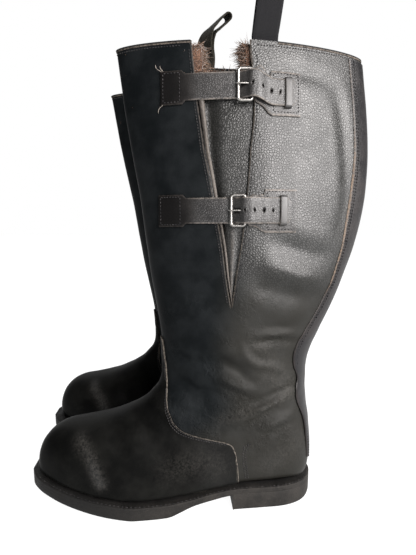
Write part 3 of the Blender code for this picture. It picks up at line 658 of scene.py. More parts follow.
def leather(name, dark, light, worn, grain=2.1, roughness=(0.36, 0.56), bump=0.2, specular=(0.25, 0.25)):
    """Used leather: its tags say where it has grain, gloss, creases, scuffs, painted highlights and worn
    edges.
    """
    look = Look(name)
    grained = look.tag("grain")
    patches = look.noise(38, 4.0, 0.6)
    pebble = look.pebbles(grain)
    fine = look.noise(0.7, 3.0, 0.7)
    base = look.mix(look.ramp(patches, 0.35, 0.68), dark, light)
    base = look.mix(look.tag("warm"), base, (0.036, 0.031, 0.022))
    base = look.mix(look.tag("dark"), base, tuple(c * 0.5 for c in dark))
    # Painted shade: the base colour goes darker in the gaps between the pebbles.
    pebble_gap_shade = look.times(look.times(look.ramp(pebble, 0.7, 0.0), grained), 0.5)
    base = look.mix(pebble_gap_shade, base, tuple(c * 0.3 for c in dark))
    # Painted highlights: a mottled pale olive on the shaft's crease ridges and the vamp's toe and waist;
    # at the toe it is partly a real scuff.
    mottle = look.ramp(look.noise(2.6, 5.0, 0.75, distortion=1.0), 0.38, 0.68)
    highlight_and_scuff_mask = look.times(mottle, look.tag("scuff_and_painted_highlight"))
    base = look.mix(look.times(highlight_and_scuff_mask, 0.5), base, (0.070, 0.066, 0.060))
    scuffs = look.ramp(look.noise(3.5, 6.0, 0.75, distortion=1.5), 0.66, 0.80, 0.0, 0.30)
    base = look.mix(scuffs, base, tuple(c * 2.2 + 0.012 for c in light))
    edge = look.tag("wear")
    edge = look.times(edge, look.ramp(look.noise(2.4, 4.0), 0.3, 0.62, 0.15, 1.0), True)
    look.set("Base Color", look.mix(edge, base, worn))
    valleys = look.times(look.ramp(pebble, 0.8, 0.0, 0.0, 0.35), look.ramp(grained, 0.0, 0.8))
    gloss = look.ramp(look.tag("gloss"), 0.0, 1.0, *specular)
    look.set("Specular IOR Level", look.times(gloss, look.math("SUBTRACT", 1.0, valleys)))
    shine = look.ramp(patches, 0.3, 0.7, *roughness)
    shine = look.plus(shine, look.times(edge, 0.2))
    shine = look.plus(shine, look.times(look.tag("crease"), 0.12))
    look.set("Roughness", look.plus(shine, look.times(scuffs, 0.25), True))
    where = look.times(look.ramp(look.noise(30, 2.0), 0.45, 0.65), look.tag("crease"))
    wrinkles = look.times(look.ramp(look.noise(5, 5.0, 0.6, distortion=0.6), 0.3, 0.7), where)
    folded = look.bump(wrinkles, 0.8)
    height = look.plus(look.times(pebble, grained), look.times(fine, 0.16))
    pores = look.times(look.noise(1.6, 2.0), 0.12)
    look.set("Normal", look.bump(look.plus(height, pores), bump, normal=folded))
    return look.material


def rubber(name, dark, light):
    look = Look(name, specular=0.2)
    patches = look.noise(16, 5.0, 0.65)
    dust = look.ramp(look.noise(2.2, 6.0, 0.8, distortion=0.6), 0.5, 0.78, 0.0, 0.5)
    base = look.mix(look.ramp(patches, 0.3, 0.7), dark, light)
    base = look.mix(dust, base, (0.06, 0.053, 0.046))
    # Painted shade: the rubber goes near black in the welt's recess under the upper, and darker towards
    # the toe.
    shade = look.math("MAXIMUM", look.tag("dark"), look.tag("painted_toe_shade"))
    look.set("Base Color", look.mix(shade, base, (0.004, 0.004, 0.004)))
    look.set("Roughness", look.ramp(patches, 0.2, 0.8, 0.55, 0.8))
    rough = look.plus(look.noise(0.9, 5.0, 0.7), look.times(look.noise(7, 3.0), 0.8))
    look.set("Normal", look.bump(rough, 0.35))
    return look.material


def fur(name):
    """Brown fleece: each strand has its own shade, and goes paler towards its tip."""
    look = Look(name, roughness=0.85, specular=0.25)
    look.set("Sheen Weight", 0.35)
    look.set("Sheen Roughness", 0.5)
    shade = look.mix(look.tag("shade"), (0.016, 0.007, 0.004), (0.088, 0.040, 0.020))
    tip = look.times(look.tag("tip"), 0.4)
    look.set("Base Color", look.mix(tip, shade, (0.26, 0.16, 0.10)))
    look.set("Normal", look.bump(look.noise(1.2, 3.0), 0.2))
    return look.material


def pelt(name):
    look = Look(name, roughness=0.95, specular=0.15)
    look.set("Sheen Weight", 0.4)
    curls = look.noise(3.2, 5.0, 0.7, distortion=1.2)
    pale = look.ramp(curls, 0.35, 0.7)
    look.set("Base Color", look.mix(pale, (0.030, 0.013, 0.007), (0.16, 0.078, 0.042)))
    look.set("Normal", look.bump(curls, 2.2))
    return look.material


def metal(name, colour, roughness):
    look = Look(name, metallic=1.0)
    worn = look.noise(2.8, 5.0, 0.7)
    look.set("Base Color", look.mix(look.ramp(worn, 0.45, 0.75), colour, tuple(c * 0.35 for c in colour)))
    look.set("Roughness", look.ramp(worn, 0.3, 0.8, roughness, roughness + 0.3))
    look.set("Normal", look.bump(look.noise(0.9, 4.0), 0.08))
    return look.material


def webbing(name, dark, light):
    """Woven tape: a herringbone of diagonal ribs that turns at each rib across the width."""
    look = Look(name, roughness=0.85, specular=0.15)
    rib, pick = 3.0, 0.9
    across = look.times(look.tag("across"), 1 / (rib * MM))
    zigzag = look.math("PINGPONG", across, 1.0)
    along = look.times(look.tag("along"), 1 / (pick * MM))
    slope = look.plus(along, look.times(zigzag, 1.6))
    twill = look.math("PINGPONG", slope, 0.5)
    weave = look.plus(look.times(twill, 2.0), look.times(look.noise(0.5, 2.0), 0.5))
    tone = look.mix(look.ramp(weave, 0.2, 1.2), dark, light)
    fuzz = look.ramp(look.noise(1.4, 5.0, 0.8), 0.62, 0.8, 0.0, 0.35)
    tone = look.mix(fuzz, tone, tuple(c * 2.2 for c in light))
    worn = look.times(look.tag("wear"), 0.3)
    look.set("Base Color", look.mix(worn, tone, tuple(c * 1.8 for c in light)))
    look.set("Normal", look.bump(weave, 0.28))
    return look.material


def thread(name, dark, light):
    look = Look(name, roughness=0.8, specular=0.2)
    look.set("Base Color", look.mix(look.ramp(look.noise(5, 3.0), 0.35, 0.65), dark, light))
    look.set("Normal", look.bump(look.noise(0.35, 2.0), 0.1))
    return look.material


def boardlike(name, dark, light):
    look = Look(name, roughness=0.85, specular=0.2)
    fibres = look.noise(4, 6.0, 0.75)
    look.set("Base Color", look.mix(look.ramp(fibres, 0.35, 0.65), dark, light))
    look.set("Normal", look.bump(fibres, 0.2))
    return look.material


def all_looks():
    return {
        "shaft": leather(
            "shaft_leather", (0.004, 0.005, 0.0056), (0.010, 0.0115, 0.0125), (0.19, 0.16, 0.135),
            grain=2.4, roughness=(0.42, 0.52), bump=0.14, specular=(0.04, 0.76),
        ),
        "vamp": leather(
            "vamp_leather", (0.003, 0.0031, 0.003), (0.0075, 0.0076, 0.007), (0.105, 0.093, 0.079),
            grain=2.2, roughness=(0.40, 0.52), bump=0.2, specular=(0.02, 0.6),
        ),
        "strap": leather(
            "strap_leather", (0.009, 0.0085, 0.0085), (0.027, 0.025, 0.024), (0.19, 0.165, 0.145),
            grain=2.0, roughness=(0.42, 0.55), bump=0.13, specular=(0.08, 0.8),
        ),
        "piping": leather(
            "piping_leather", (0.025, 0.022, 0.020), (0.075, 0.067, 0.061), (0.26, 0.22, 0.18),
            grain=1.2, roughness=(0.42, 0.6), bump=0.15,
        ),
        "stay": leather(
            "stay_leather", (0.006, 0.006, 0.007), (0.016, 0.014, 0.014), (0.13, 0.092, 0.064),
            bump=0.2, specular=(0.2, 0.7),
        ),
        "sole": rubber("sole_rubber", (0.008, 0.0073, 0.0066), (0.021, 0.019, 0.017)),
        "fur": fur("fleece_strands"),
        "pelt": pelt("fleece_pile"),
        "steel": metal("buckle_steel", (0.33, 0.32, 0.305), 0.28),
        "webbing": webbing("charcoal_webbing", (0.0045, 0.0045, 0.005), (0.0135, 0.0135, 0.015)),
        "tape": webbing("worn_tape", (0.012, 0.011, 0.009), (0.038, 0.034, 0.027)),
        "thread": thread("black_thread", (0.010, 0.010, 0.011), (0.030, 0.028, 0.028)),
        "pale_thread": thread("pale_thread", (0.10, 0.088, 0.078), (0.25, 0.22, 0.19)),
        "board": boardlike("leatherboard", (0.20, 0.13, 0.075), (0.34, 0.24, 0.15)),
    }  # fmt: skip


# --- the upper ------------------------------------------------------------------------------

EDGE_STEPS = np.array([0, 0.3, 0.75, 1.6, 3.2])


def v_angles(b, columns):
    """Angles of a row's columns from the V's rear edge round the back to its front edge."""
    front, rear = v_edges(b)
    near = rear[:, None] + EDGE_STEPS / degree_length(b, rear)[:, None]
    far = front[:, None] + 360 - EDGE_STEPS[::-1] / degree_length(b, front)[:, None]
    shares = np.linspace(0, 1, columns + 2)[1:-1]
    middle = near[:, -1:] + (far[:, :1] - near[:, -1:]) * shares
    return np.concatenate([near, middle, far], 1)


def shaft(boot):
    """The shaft's leather, slit at the V on the outer side."""
    b = rows_between(9.9, TOP, 2.2)
    angles = v_angles(b, 150)
    grid_b = np.broadcast_to(b[:, None], angles.shape)
    opened = ease(V_TIP, V_TIP + 0.15, b)[:, None]
    middle = np.full(angles.shape[1] - 2 * len(EDGE_STEPS), 9.0)
    edge = np.concatenate([EDGE_STEPS, middle, EDGE_STEPS[::-1]])
    drop = opened * 0.8 * np.clip(1 - edge / 0.8, 0, 1) ** 2
    outer = surface(grid_b, angles, -drop)
    inner = surface(grid_b, angles, -LEATHER + 0.3 * drop)
    z = outer[..., 2]
    wear = opened * np.clip(1.15 - edge / 0.9, 0, 1) * np.where(angles > 300, 0.3, 0.8)
    rear_panel = 1 - ease(262, 274, angles + 3 * wobble(outer, 20, 9))
    grain = 0.15 + 0.85 * ease(205, 262, z + 8 * wobble(outer, 30, 8)) * rear_panel
    crease = 0.8 * ease(40, 75, z) * (1 - ease(190, 240, z))
    side = from_front(angles)
    behind_v = ease(60, 86, side)
    tags = {
        "wear": wear,
        "grain": grain,
        "crease": crease,
        "gloss": behind_v * (0.24 + 0.76 * ease(205, 285, z)),
        "warm": behind_v * (0.25 - 0.07 * ease(190, 270, z)),
        # Painted highlights: the shaft's sides are made paler along crease ridges and on the heel
        # quarter.
        "scuff_and_painted_highlight": sum(near_line(line, width, outer) * share for line, width, share in PAINTED_HIGHLIGHTS),
    }
    tags["scuff_and_painted_highlight"] = tags["scuff_and_painted_highlight"] * ease(50, 75, side)
    solid = sheet(outer, inner, b <= V_TIP, tags)
    piece(boot, "shaft_leather", solid, "shaft", "shaft")


@lru_cache
def side_seam():
    """Angles on the boot's side, and the slice where each meets the line of the vamp's back edge."""
    angles = np.arange(52, 130, 0.25)
    b = np.linspace(9.7, 13.2, 900)
    spots = skin(*np.meshgrid(b, angles, indexing="ij"))
    gap, _ = line_field(SIDE_SEAM, spots[..., 1], spots[..., 2])
    return angles, b[gap.argmin(0)]


def vamp_end(angles):
    """The slice where the vamp ends, at each angle."""
    side = from_front(angles)
    last = VAMP_END_UNDER_FOOT
    seam = np.array([*VAMP_SEAM, (140, last + 0.6), (146, last), (180, last)])
    shifts = np.linspace(-2, 2, 9)
    end = sum(np.interp(np.abs(side + t), *seam.T) for t in shifts) / len(shifts)
    share = ease(53, 60, side) * (1 - ease(121, 128, side))
    return end * (1 - share) + np.interp(side, *side_seam()) * share


def vamp(boot):
    """The foot's leather, from the toe to the seam where it laps over the shaft."""
    # Angles from one to another, closer together where the seam turns.
    spans = ((0, 11, 5), (12, 30, 30), (31.5, 82, 32), (83, 93, 51), (93.6, 104, 18), (106, 180, 26))
    half = np.concatenate([np.linspace(*span) for span in spans])
    angles = np.concatenate([half, 360 - half[-2::-1]])
    end = vamp_end(angles)
    toe = np.concatenate([[0.02, 0.15, 0.35, 0.6], np.arange(0.9, 9.5, 0.22)])
    lap = 9.6 + (end - 9.6) * np.linspace(0, 1, 40)[:-1, None] ** 0.9
    last = end - np.array([0.045, 0.02, 0.0])[:, None] * np.where(end > 12.3, 1.0, 2.2)
    b = np.concatenate([np.broadcast_to(toe[:, None], (len(toe), len(angles))), lap, last])
    under = ease(132, 145, from_front(angles))
    b = np.where((under > 0.5) & (b > 9.5), 9.42 + 0.08 * (np.arange(len(b)) / len(b))[:, None], b)
    degrees = np.broadcast_to(angles, b.shape)
    lifted = VAMP_LAP * ease(8.6, 9.9, b) * (1 - under)
    edge = np.zeros(b.shape)
    edge[-1] = 1.0
    edge[-2] = 0.3
    outer = surface(b, degrees, lifted - 0.75 * edge)
    inner = surface(b, degrees, lifted - 1.9 + 0.25 * edge + 0.05)
    wear = np.zeros(b.shape)
    wear[-3:] = np.array([0.35, 1.0, 1.0])[:, None]
    low = outer[..., 2] - sole_top(outer[..., 1])
    wear = np.maximum(wear, 0.2 * (1 - ease(1.0, 4.5, low)) * ease(-2.5, -0.5, low))
    x, y, _ = np.moveaxis(outer, -1, 0)
    on_sides = ease(10, 25, np.abs(x))
    # The toe patch is partly a real scuff and partly a painted highlight; the paler patch at the waist is
    # a painted highlight.
    toe_scuff_and_highlight = near_line([(-130, 74), (-120, 62), (-110, 38)], 7, outer) * on_sides
    waist_painted_highlight = near_line([(-38, 48), (-16, 54), (4, 52)], 15, outer) * on_sides
    tags = {
        "wear": wear,
        "grain": 0.08,
        "crease": 0.3 * ease(-95, -50, y),
        "scuff_and_painted_highlight": toe_scuff_and_highlight + 0.4 * waist_painted_highlight,
        "gloss": 0.25 * ease(-40, 10, y) + 0.45 * toe_scuff_and_highlight,
    }
    solid = sheet(outer, inner, np.ones(len(b), bool), tags)
    piece(boot, "vamp_leather", solid, "vamp", "vamp")


def sole_top(y):
    """Height of the sole's top edge at each y."""
    return np.interp(y, SOLE[:, 0], SOLE[:, 4])


def gusset(boot):
    """The folded leather behind the V, with a bead down its front."""
    b = rows_between(V_TIP - 0.6, GUSSET_TOP, 2.0)
    front, rear = v_edges(b)
    shares = np.linspace(0, 1, 44)
    opened = ease(V_TIP, V_TIP + 3, b)[:, None]
    angles = (front - 5)[:, None] + (rear - front + 10)[:, None] * shares
    grid_b = np.broadcast_to(b[:, None], angles.shape)
    fold = 3.8 * np.exp(-(((shares - 0.24) / 0.10) ** 2)) + 2.4 * ease(0.84, 0.97, shares)
    ridges = 0.9 * np.cos((shares - 0.52) * 2 * pi * 3.2) * np.exp(-(((shares - 0.5) / 0.22) ** 2))
    low = (1 - ease(22.5, 25.2, b))[:, None]
    depth = 3.3 + opened * fold - 1.3 * low * opened**0.3 * ridges
    plain = skin(grid_b, angles)
    depth = depth + 0.5 * wobble(plain, 26, 12)
    outer = surface(grid_b, angles, -depth)
    inner = surface(grid_b, angles, -depth - 1.3)
    tags = {
        # Low on the gusset its fold ridges are paler: worn leather, and also painted highlights on the
        # ridges.
        "wear": 0.25 * low * (ridges > 0.5),
        "grain": 0.35 + 0.65 * ease(225, 280, outer[..., 2]),
        "gloss": 0.8 + 0.2 * ease(0.2, 0.6, shares),
        "warm": 0.2,
    }
    piece(boot, "gusset_leather", sheet(outer, inner, tags=tags), "shaft", "gusset")
    # A rolled bead runs down the front edge of the V, and is thickest at the top.
    b = rows_between(V_TIP + 0.1, 27.3, 2.5)
    front, _ = v_edges(b)
    thick = np.interp(b, [22, 24, 26, 26.8, 27.3], [0.5, 1.3, 1.9, 2.4, 3.4])
    line = surface(b, front + (1.1 + thick) / degree_length(b, front), -1.6)
    points, faces, _ = tube(line, thick, 10)
    bead = (points, faces, {"wear": 0.15, "grain": 0.2})
    piece(boot, "gusset_bead", bead, "piping")


def backstay(boot):
    """The strip up the back of the shaft, wide at the calf, with two rows of stitches on each side."""
    b = rows_between(15.3, 27.86, 2.5)
    shares = np.array([-1, -0.986, -0.95, -0.7, -0.45, -0.2, 0, 0.2, 0.45, 0.7, 0.95, 0.986, 1])
    edge_angle = through(STAY_EDGE[:, 1], np.interp(b, STAY_EDGE[:, 0], np.arange(len(STAY_EDGE))))
    angles = 180 + shares * (180 - edge_angle)[:, None]
    grid_b = np.broadcast_to(b[:, None], angles.shape)
    top = np.array([0.45, 0.95, 1.25, 1.35, 1.4, 1.5, 1.5, 1.5, 1.4, 1.35, 1.25, 0.95, 0.45])
    at_ankle = ease(15.4, 17.0, grid_b) * (1 - ease(18.5, 21.5, grid_b))
    clear = 1.1 * at_ankle * ease(0.6, 0.95, np.abs(shares))
    outer = surface(grid_b, angles, top + clear)
    inner = surface(grid_b, angles, 0.12 + clear)
    z = outer[..., 2]
    raw = 0.06 + 0.94 * ease(215, 250, z) * (1 - 0.8 * ease(330, 400, z))
    tags = {
        "wear": (np.abs(shares) > 0.98) * raw,
        "grain": 0.1 + 0.5 * ease(230, 280, z),
        "gloss": 0.1 + 0.4 * ease(205, 285, z),
    }
    solid = sheet(outer, inner, tags=tags)
    piece(boot, "backstay_leather", solid, "stay", "backstay")
    rows = []
    for side in (-1, 1):
        for inset in (3.2, 6.0):
            angle = angles[:, 0 if side < 0 else -1] - side * inset / degree_length(b, angles[:, 0])
            rows.append(sewn(b, angle, 1.35, 3.1))
    piece(boot, "backstay_stitches", joined(rows), "thread")


def rand(boot):
    """The upper's worn lower rim: a thin roll round the foot, just above the welt."""
    angles = np.linspace(60, 180, 361)
    seam = vamp_end(angles)
    lines = []
    for side in (1, -1):
        line = []
        for b in np.linspace(0.35, 15.3, 170):
            row = np.full(angles.shape, b)
            lap = VAMP_LAP * ease(8.6, 9.9, row) * (row < seam)
            points = skin(row, side * angles) + facing(row, side * angles) * lap[:, None]
            above = points[:, 2] - sole_top(points[:, 1]) - 1.2
            under = np.flatnonzero((above[:-1] > 0) & (above[1:] <= 0))
            if len(under):
                i = under[0]
                share = above[i] / (above[i] - above[i + 1])
                line.append(points[i] + (points[i + 1] - points[i]) * share)
        lines.append(np.array(line))
    ring = np.concatenate([lines[0], lines[1][::-1]])
    ahead = unit(np.roll(ring, -2, 0) - np.roll(ring, 2, 0))
    out = unit(np.stack([ahead[:, 1], -ahead[:, 0], np.zeros(len(ring))], -1))
    out = out if (out[60] @ (ring[60] - ring.mean(0))) > 0 else -out
    points, faces, _ = tube(ring + out * 0.4, 0.9, 8, loop=True)
    piece(boot, "upper_rim", (points, faces, {"wear": 0.12}), "vamp")


def seam_stitches(boot):
    """The rows beside the vamp's back edge, round the counter, and along the V and the top edge."""
    rows = []
    for start, stop in ((24, 84), (276, 336)):
        angles = np.linspace(start, stop, 160)
        for inset in (0.16, 0.42):
            b = vamp_end(angles) - inset * np.interp(vamp_end(angles), [11, 13, 18], [0.55, 0.5, 0.42])
            rows.append(sewn(b, angles, VAMP_LAP, 2.6))
    for start, stop in ((13.5, 21.5), (338.5, 346.5)):
        angles = np.linspace(start, stop, 200)
        shift = 1.5 if start < 180 else -1.5
        b = vamp_end(angles)
        for turn in (shift, 2.2 * shift):
            rows.append(sewn(b, angles - turn, VAMP_LAP, 2.6))
    piece(boot, "vamp_stitches", joined(rows), "thread")
    rows = []
    for shift in (0.0, 2.6):
        y, z = curve([(39, 70), (33.5, 64), (32.5, 57), (33.5, 45), (36, 31)], 40).T
        b, angle = foot_spot(y + shift, z)
        for turn in (angle, -angle):
            rows.append(sewn(b, turn, 0.05, 2.6))
    piece(boot, "counter_stitches", joined(rows), "thread")
    rows = []
    b = rows_between(V_TIP + 0.2, 27.8, 2.0)
    front, rear = v_edges(b)
    for edge, sign in ((front, -1), (rear, 1)):
        angle = edge + sign * 3.0 / degree_length(b, edge)
        rows.append(sewn(b, angle, 0.05, 2.8))
    angle = np.linspace(96, 414, 400)
    rows.append(sewn(np.full(angle.shape, 27.87), angle, 0.05, 2.8))
    piece(boot, "shaft_stitches", joined(rows), "thread")


def foot_spot(y, z):
    """The slice and angle of a line of places on the outer side of the heel, found on a fine grid."""
    angles = np.append(np.linspace(82, 94, 300), np.linspace(94, 124, 150))
    b, angle = np.meshgrid(np.linspace(10.8, 14.5, 500), angles, indexing="ij")
    points = skin(b, angle)
    found = [np.argmin((points[..., 1] - v) ** 2 + (points[..., 2] - w) ** 2) for v, w in zip(y, z)]
    soft = np.hanning(9) / np.hanning(9).sum()
    return (np.convolve(np.pad(grid.ravel()[found], 4, "edge"), soft, "valid") for grid in (b, angle))


def top_binding(boot):
    """A narrow folded strip over the top edge, from behind the outer pull loop round to the V."""
    angle = np.linspace(108, 419, 260)
    # Height above the edge and distance off the leather of each corner, and how worn it is.
    outline = (
        (-4.2, 0.15, 0.5), (-4.0, 0.6, 0.75), (-2.0, 0.75, 0.1), (-0.3, 0.75, 0), (0.45, 0.3, 0.1),
        (0.7, -0.9, 0.15), (0.45, -2.0, 0), (-0.3, -2.6, 0), (-3.4, -2.6, 0), (-3.4, -2.1, 0),
        (-0.1, -2.1, 0), (-0.1, 0.05, 0),
    )  # fmt: skip
    per_slice = 54.5
    columns = [surface(TOP + up / per_slice, angle, lift) for up, lift, _ in outline]
    points, faces, _ = sweep(np.stack(columns, 1))
    tags = {"wear": np.tile([wear for *_, wear in outline], len(angle)), "grain": 0.35}
    piece(boot, "top_binding", (points, faces, tags), "shaft")


# --- the fleece -----------------------------------------------------------------------------


def fleece_depth(b):
    return np.interp(b, [0, 17.2, 20], [5.6, 5.6, 4.4])


def fleece_points(b, angles, deeper):
    """Points in the fleece: its back against the leather, and its pile deeper in."""
    plain = skin(b, angles)
    return plain - facing(b, angles) * (fleece_depth(b) + deeper)[..., None]


def fleece(boot):
    """The lining: a wavy pelt, with strands where its pile is seen."""
    b = np.concatenate([np.arange(4.0, 15, 0.5), rows_between(15, 27.85, 5.0)])
    b = np.sort(np.append(b, [20.5, 21.1]))
    spread = np.where(b > 20.5, np.interp(b, [27.1, 27.5], [8.0, -4.0]), 0.0)
    front, rear = v_edges(b)
    shares = np.linspace(0, 1, 90)
    angles = (rear + spread)[:, None] + (front + 360 - rear - 2 * spread)[:, None] * shares
    grid_b = np.broadcast_to(b[:, None], angles.shape)
    outer = fleece_points(grid_b, angles, np.zeros(angles.shape))
    pile = FLEECE + 1.1 * wobble(outer, 9, 21, 2)
    pile = np.where(grid_b < 9, np.minimum(pile, 5.0), pile)
    deeper_b = grid_b + np.where(grid_b < 7, 0.45 * (1 - (grid_b - 4) / 3), 0)
    inner = fleece_points(deeper_b, angles, pile)
    solid = sheet(outer, inner, b <= 20.5)
    solid = close_toe(solid, outer.shape)
    piece(boot, "fleece_pelt", solid, "pelt", "fleece_lining", sharp=80)
    piece(boot, "fleece_strands", strands(boot), "fur", sharp=180)


def close_toe(solid, shape):
    """Closes the lining's toe end with a fan on each layer, in place of the faces between them."""
    points, faces, tags = solid
    rows, columns = shape[:2]
    outer_ring = list(range(columns - 1))
    inner_ring = [rows * columns + c for c in range(columns - 1)]
    first, second = set(outer_ring), set(inner_ring)
    kept = [f for f in faces if not (first & set(f) and second & set(f))]
    centres = np.stack([points[outer_ring].mean(0), points[inner_ring].mean(0)])
    for ring, centre, order in ((outer_ring, len(points), -1), (inner_ring, len(points) + 1, 1)):
        for i, j in zip(ring, ring[1:] + ring[:1]):
            kept.append([i, j, centre][::order])
    return np.concatenate([points, centres]), kept, tags


def strands(boot):
    """Tapering strands of fleece: dense at the V's edges and the rim, sparse inside the shaft."""
    rng = np.random.default_rng(5 + SIDES[boot])
    groups = []
    # (count, slices, angle from, angle to, depth range, length, lean up, lean towards the V)
    for count, low, high, start, stop, deep, length, rise, turn in (
        (3000, 27.35, 27.9, 85.5, 96, (0.0, 6.5), (5, 10.5), 0.35, -0.7),
        (3000, 27.35, 27.9, 411, 422, (0.0, 6.5), (5, 10.5), 0.35, 0.7),
        (3200, 27.6, 27.9, 106, 402, (1.5, 6.5), (3.0, 6.0), 0.5, 0.0),
        (3600, 25.8, 27.8, 106, 402, (5.5, 6.5), (3.5, 7.5), 0.25, 0.0),
    ):
        b = rng.uniform(low, high, count)
        angle = rng.uniform(start, stop, count)
        back = skin(b, angle)
        out = facing(b, angle)
        root = back - out * (fleece_depth(b) + rng.uniform(*deep, count))[:, None]
        side = unit(np.cross((0, 0, 1), out))
        way = -out * 0.8 + side * turn + np.array([0, 0, rise]) + rng.normal(size=(count, 3)) * 0.42
        bend = rng.normal(size=(count, 3)) * 0.35 + np.array([0, 0, -0.25])
        groups.append((root, unit(way), bend, rng.uniform(*length, count), rng.uniform(0, 1, count)))
    root, way, bend, length, shade = (np.concatenate(v) for v in zip(*groups))
    across = unit(np.cross(way, rng.normal(size=way.shape)))
    up = np.cross(way, across)
    count = len(root)
    rings, tips = [], []
    for t, radius in ((0.0, 0.34), (0.4, 0.30), (0.75, 0.20), (1.0, 0.05)):
        centre = root + way * (length * t)[:, None] + bend * (length * t * t)[:, None]
        for k in range(3):
            turn = 2 * pi * k / 3
            rings.append(centre + (across * cos(turn) + up * sin(turn)) * radius)
            tips.append(np.full(count, t))
    points = np.stack(rings, 1).reshape(-1, 3)
    start = np.arange(count)[:, None] * 12
    faces = [start + np.array([2, 1, 0]), start + np.array([9, 10, 11])]
    quads = []
    for level in range(3):
        for k in range(3):
            here, there = level * 3, level * 3 + 3
            after = (k + 1) % 3
            quads.append(start + np.array([here + k, here + after, there + after, there + k]))
    faces = np.concatenate(faces).tolist() + np.concatenate(quads).tolist()
    tags = {"tip": np.stack(tips, 1).ravel(), "shade": np.repeat(shade, 12)}
    return points, faces, tags


# --- the sole -------------------------------------------------------------------------------


def sole_ring(start, end, inset):
    """The sole's outline between two places along it, outer side first and moved in by inset, and the
    heights of its underside and its top at each point."""
    ends = np.interp([start, end], SOLE[:, 0], np.arange(len(SOLE)))
    at = ends[0] + (ends[1] - ends[0]) * (1 - np.cos(np.linspace(0, pi, 90))) / 2
    y, outward, inward, underside, top = through(SOLE, at).T
    ring = np.concatenate([np.stack([outward, y], -1), np.stack([-inward, y], -1)[::-1]])
    ahead = np.roll(ring, -1, 0) - np.roll(ring, 1, 0)
    normal = unit(np.stack([ahead[:, 1], -ahead[:, 0]], -1))
    for _ in range(3):
        normal = unit(normal + np.roll(normal, 1, 0) + np.roll(normal, -1, 0))
    moved = ring - normal * inset
    return moved, np.concatenate([underside, underside[::-1]]), np.concatenate([top, top[::-1]])


def stacked(start, end, levels, hollow=False):
    """A solid from outlines (inset, height(underside, top)), with flat ends or a hole down its middle."""
    layers = []
    for inset, height in levels:
        ring, underside, top = sole_ring(start, end, inset)
        layers.append(np.concatenate([ring, height(underside, top)[:, None]], 1))
    layers = np.stack(layers)
    count, around = layers.shape[:2]
    faces = walls(count, around, hollow)
    if not hollow:
        for row, order in ((0, 1), ((count - 1) * around, -1)):
            for k in range(around // 2 - 1):
                corners = [k, around - 1 - k, around - 2 - k, k + 1]
                faces.append([row + corner for corner in corners][::order])
    points = layers.reshape(-1, 3)
    # Painted shade: the sole darkens towards the toe, which turns away from the light.
    return points, faces, {"painted_toe_shade": 0.8 * (1 - ease(-125, -15, points[:, 1]))}


def sole(boot):
    """The welt, the outsole and the two layers of the heel."""
    first, last = SOLE[0, 0], SOLE[-1, 0]
    gap = 0.05
    lift = LIFT_THICKNESS
    # Levels of each layer: inset, and height from the sole's underside u and top t.
    welt_levels = [
        (0.15, lambda u, t: t - WELT_THICKNESS), (0.05, lambda u, t: t - WELT_THICKNESS + 0.5),
        (0.0, lambda u, t: t - 1.0), (0.35, lambda u, t: t - 0.2), (1.0, lambda u, t: t),
        (WELT_BAND, lambda u, t: t), (WELT_BAND, lambda u, t: t - WELT_THICKNESS),
    ]  # fmt: skip
    outsole_levels = [
        (2.6, lambda u, t: u), (0.9, lambda u, t: u + 0.5), (0.15, lambda u, t: u + 1.8),
        (0.1, lambda u, t: u + 0.45 * (t - u)), (0.1, lambda u, t: u + 0.62 * (t - u)),
        (0.0, lambda u, t: t - WELT_THICKNESS - 0.9), (0.15, lambda u, t: t - WELT_THICKNESS - gap),
    ]  # fmt: skip
    block_levels = [
        (0.12, lambda u, t: lift + gap + 0 * u), (0.1, lambda u, t: lift + 0.5 + 0 * u),
        (0.1, lambda u, t: (lift + u) / 2), (0.0, lambda u, t: u + 1.7), (0.12, lambda u, t: u + 1.9),
    ]  # fmt: skip
    lift_levels = [
        (1.6, lambda u, t: 0 * u), (0.6, lambda u, t: 0.5 + 0 * u), (0.2, lambda u, t: 1.6 + 0 * u),
        (0.1, lambda u, t: lift - 0.5 + 0 * u), (0.12, lambda u, t: lift + 0 * u),
    ]  # fmt: skip
    points, faces, tags = stacked(first, last, welt_levels, hollow=True)
    # Painted shade: the welt's top darkens from its outer edge inward to near black, where it lies under
    # the upper.
    tags["dark"] = np.repeat([0, 0, 0, 0, 0.1, 1, 1], len(points) // len(welt_levels))
    piece(boot, "welt_strip", (points, faces, tags), "sole", "welt")
    for node, start, levels in (
        ("outsole", first, outsole_levels),
        ("heel_block", HEEL_BREAST, block_levels),
        ("heel_lift", HEEL_BREAST, lift_levels),
    ):
        piece(boot, node + "_rubber", stacked(start, last, levels), "sole", node)
    ring, _, top = sole_ring(first, last, 1.9)
    line = np.concatenate([ring, (top + 0.05)[:, None]], 1)
    line = line[np.linalg.norm(np.diff(line, axis=0, append=line[:1]), axis=1) > 0.05]
    up = np.broadcast_to([0.0, 0.0, 1.0], line.shape)
    piece(boot, "welt_stitches", stitches(line, up, 4.2, 3.0, 0.4), "thread")


# --- straps and buckles ---------------------------------------------------------------------


def strap_z(strap, y):
    """Height of the strap's middle at each y."""
    start = strap["bar"] + BAR_SPACING + 2
    return strap["z"] - strap["drop"] * np.clip((y - start) / (strap["square"][0] - start), 0, 1)


def eased(stops, x):
    """The second value of the stops at x, with soft corners."""
    stops = np.array(stops, float)
    i = np.clip(np.searchsorted(stops[:, 0], x) - 1, 0, len(stops) - 2)
    t = ease(0, 1, (x - stops[i, 0]) / (stops[i + 1, 0] - stops[i, 0]))
    return stops[i, 1] + (stops[i + 1, 1] - stops[i, 1]) * t


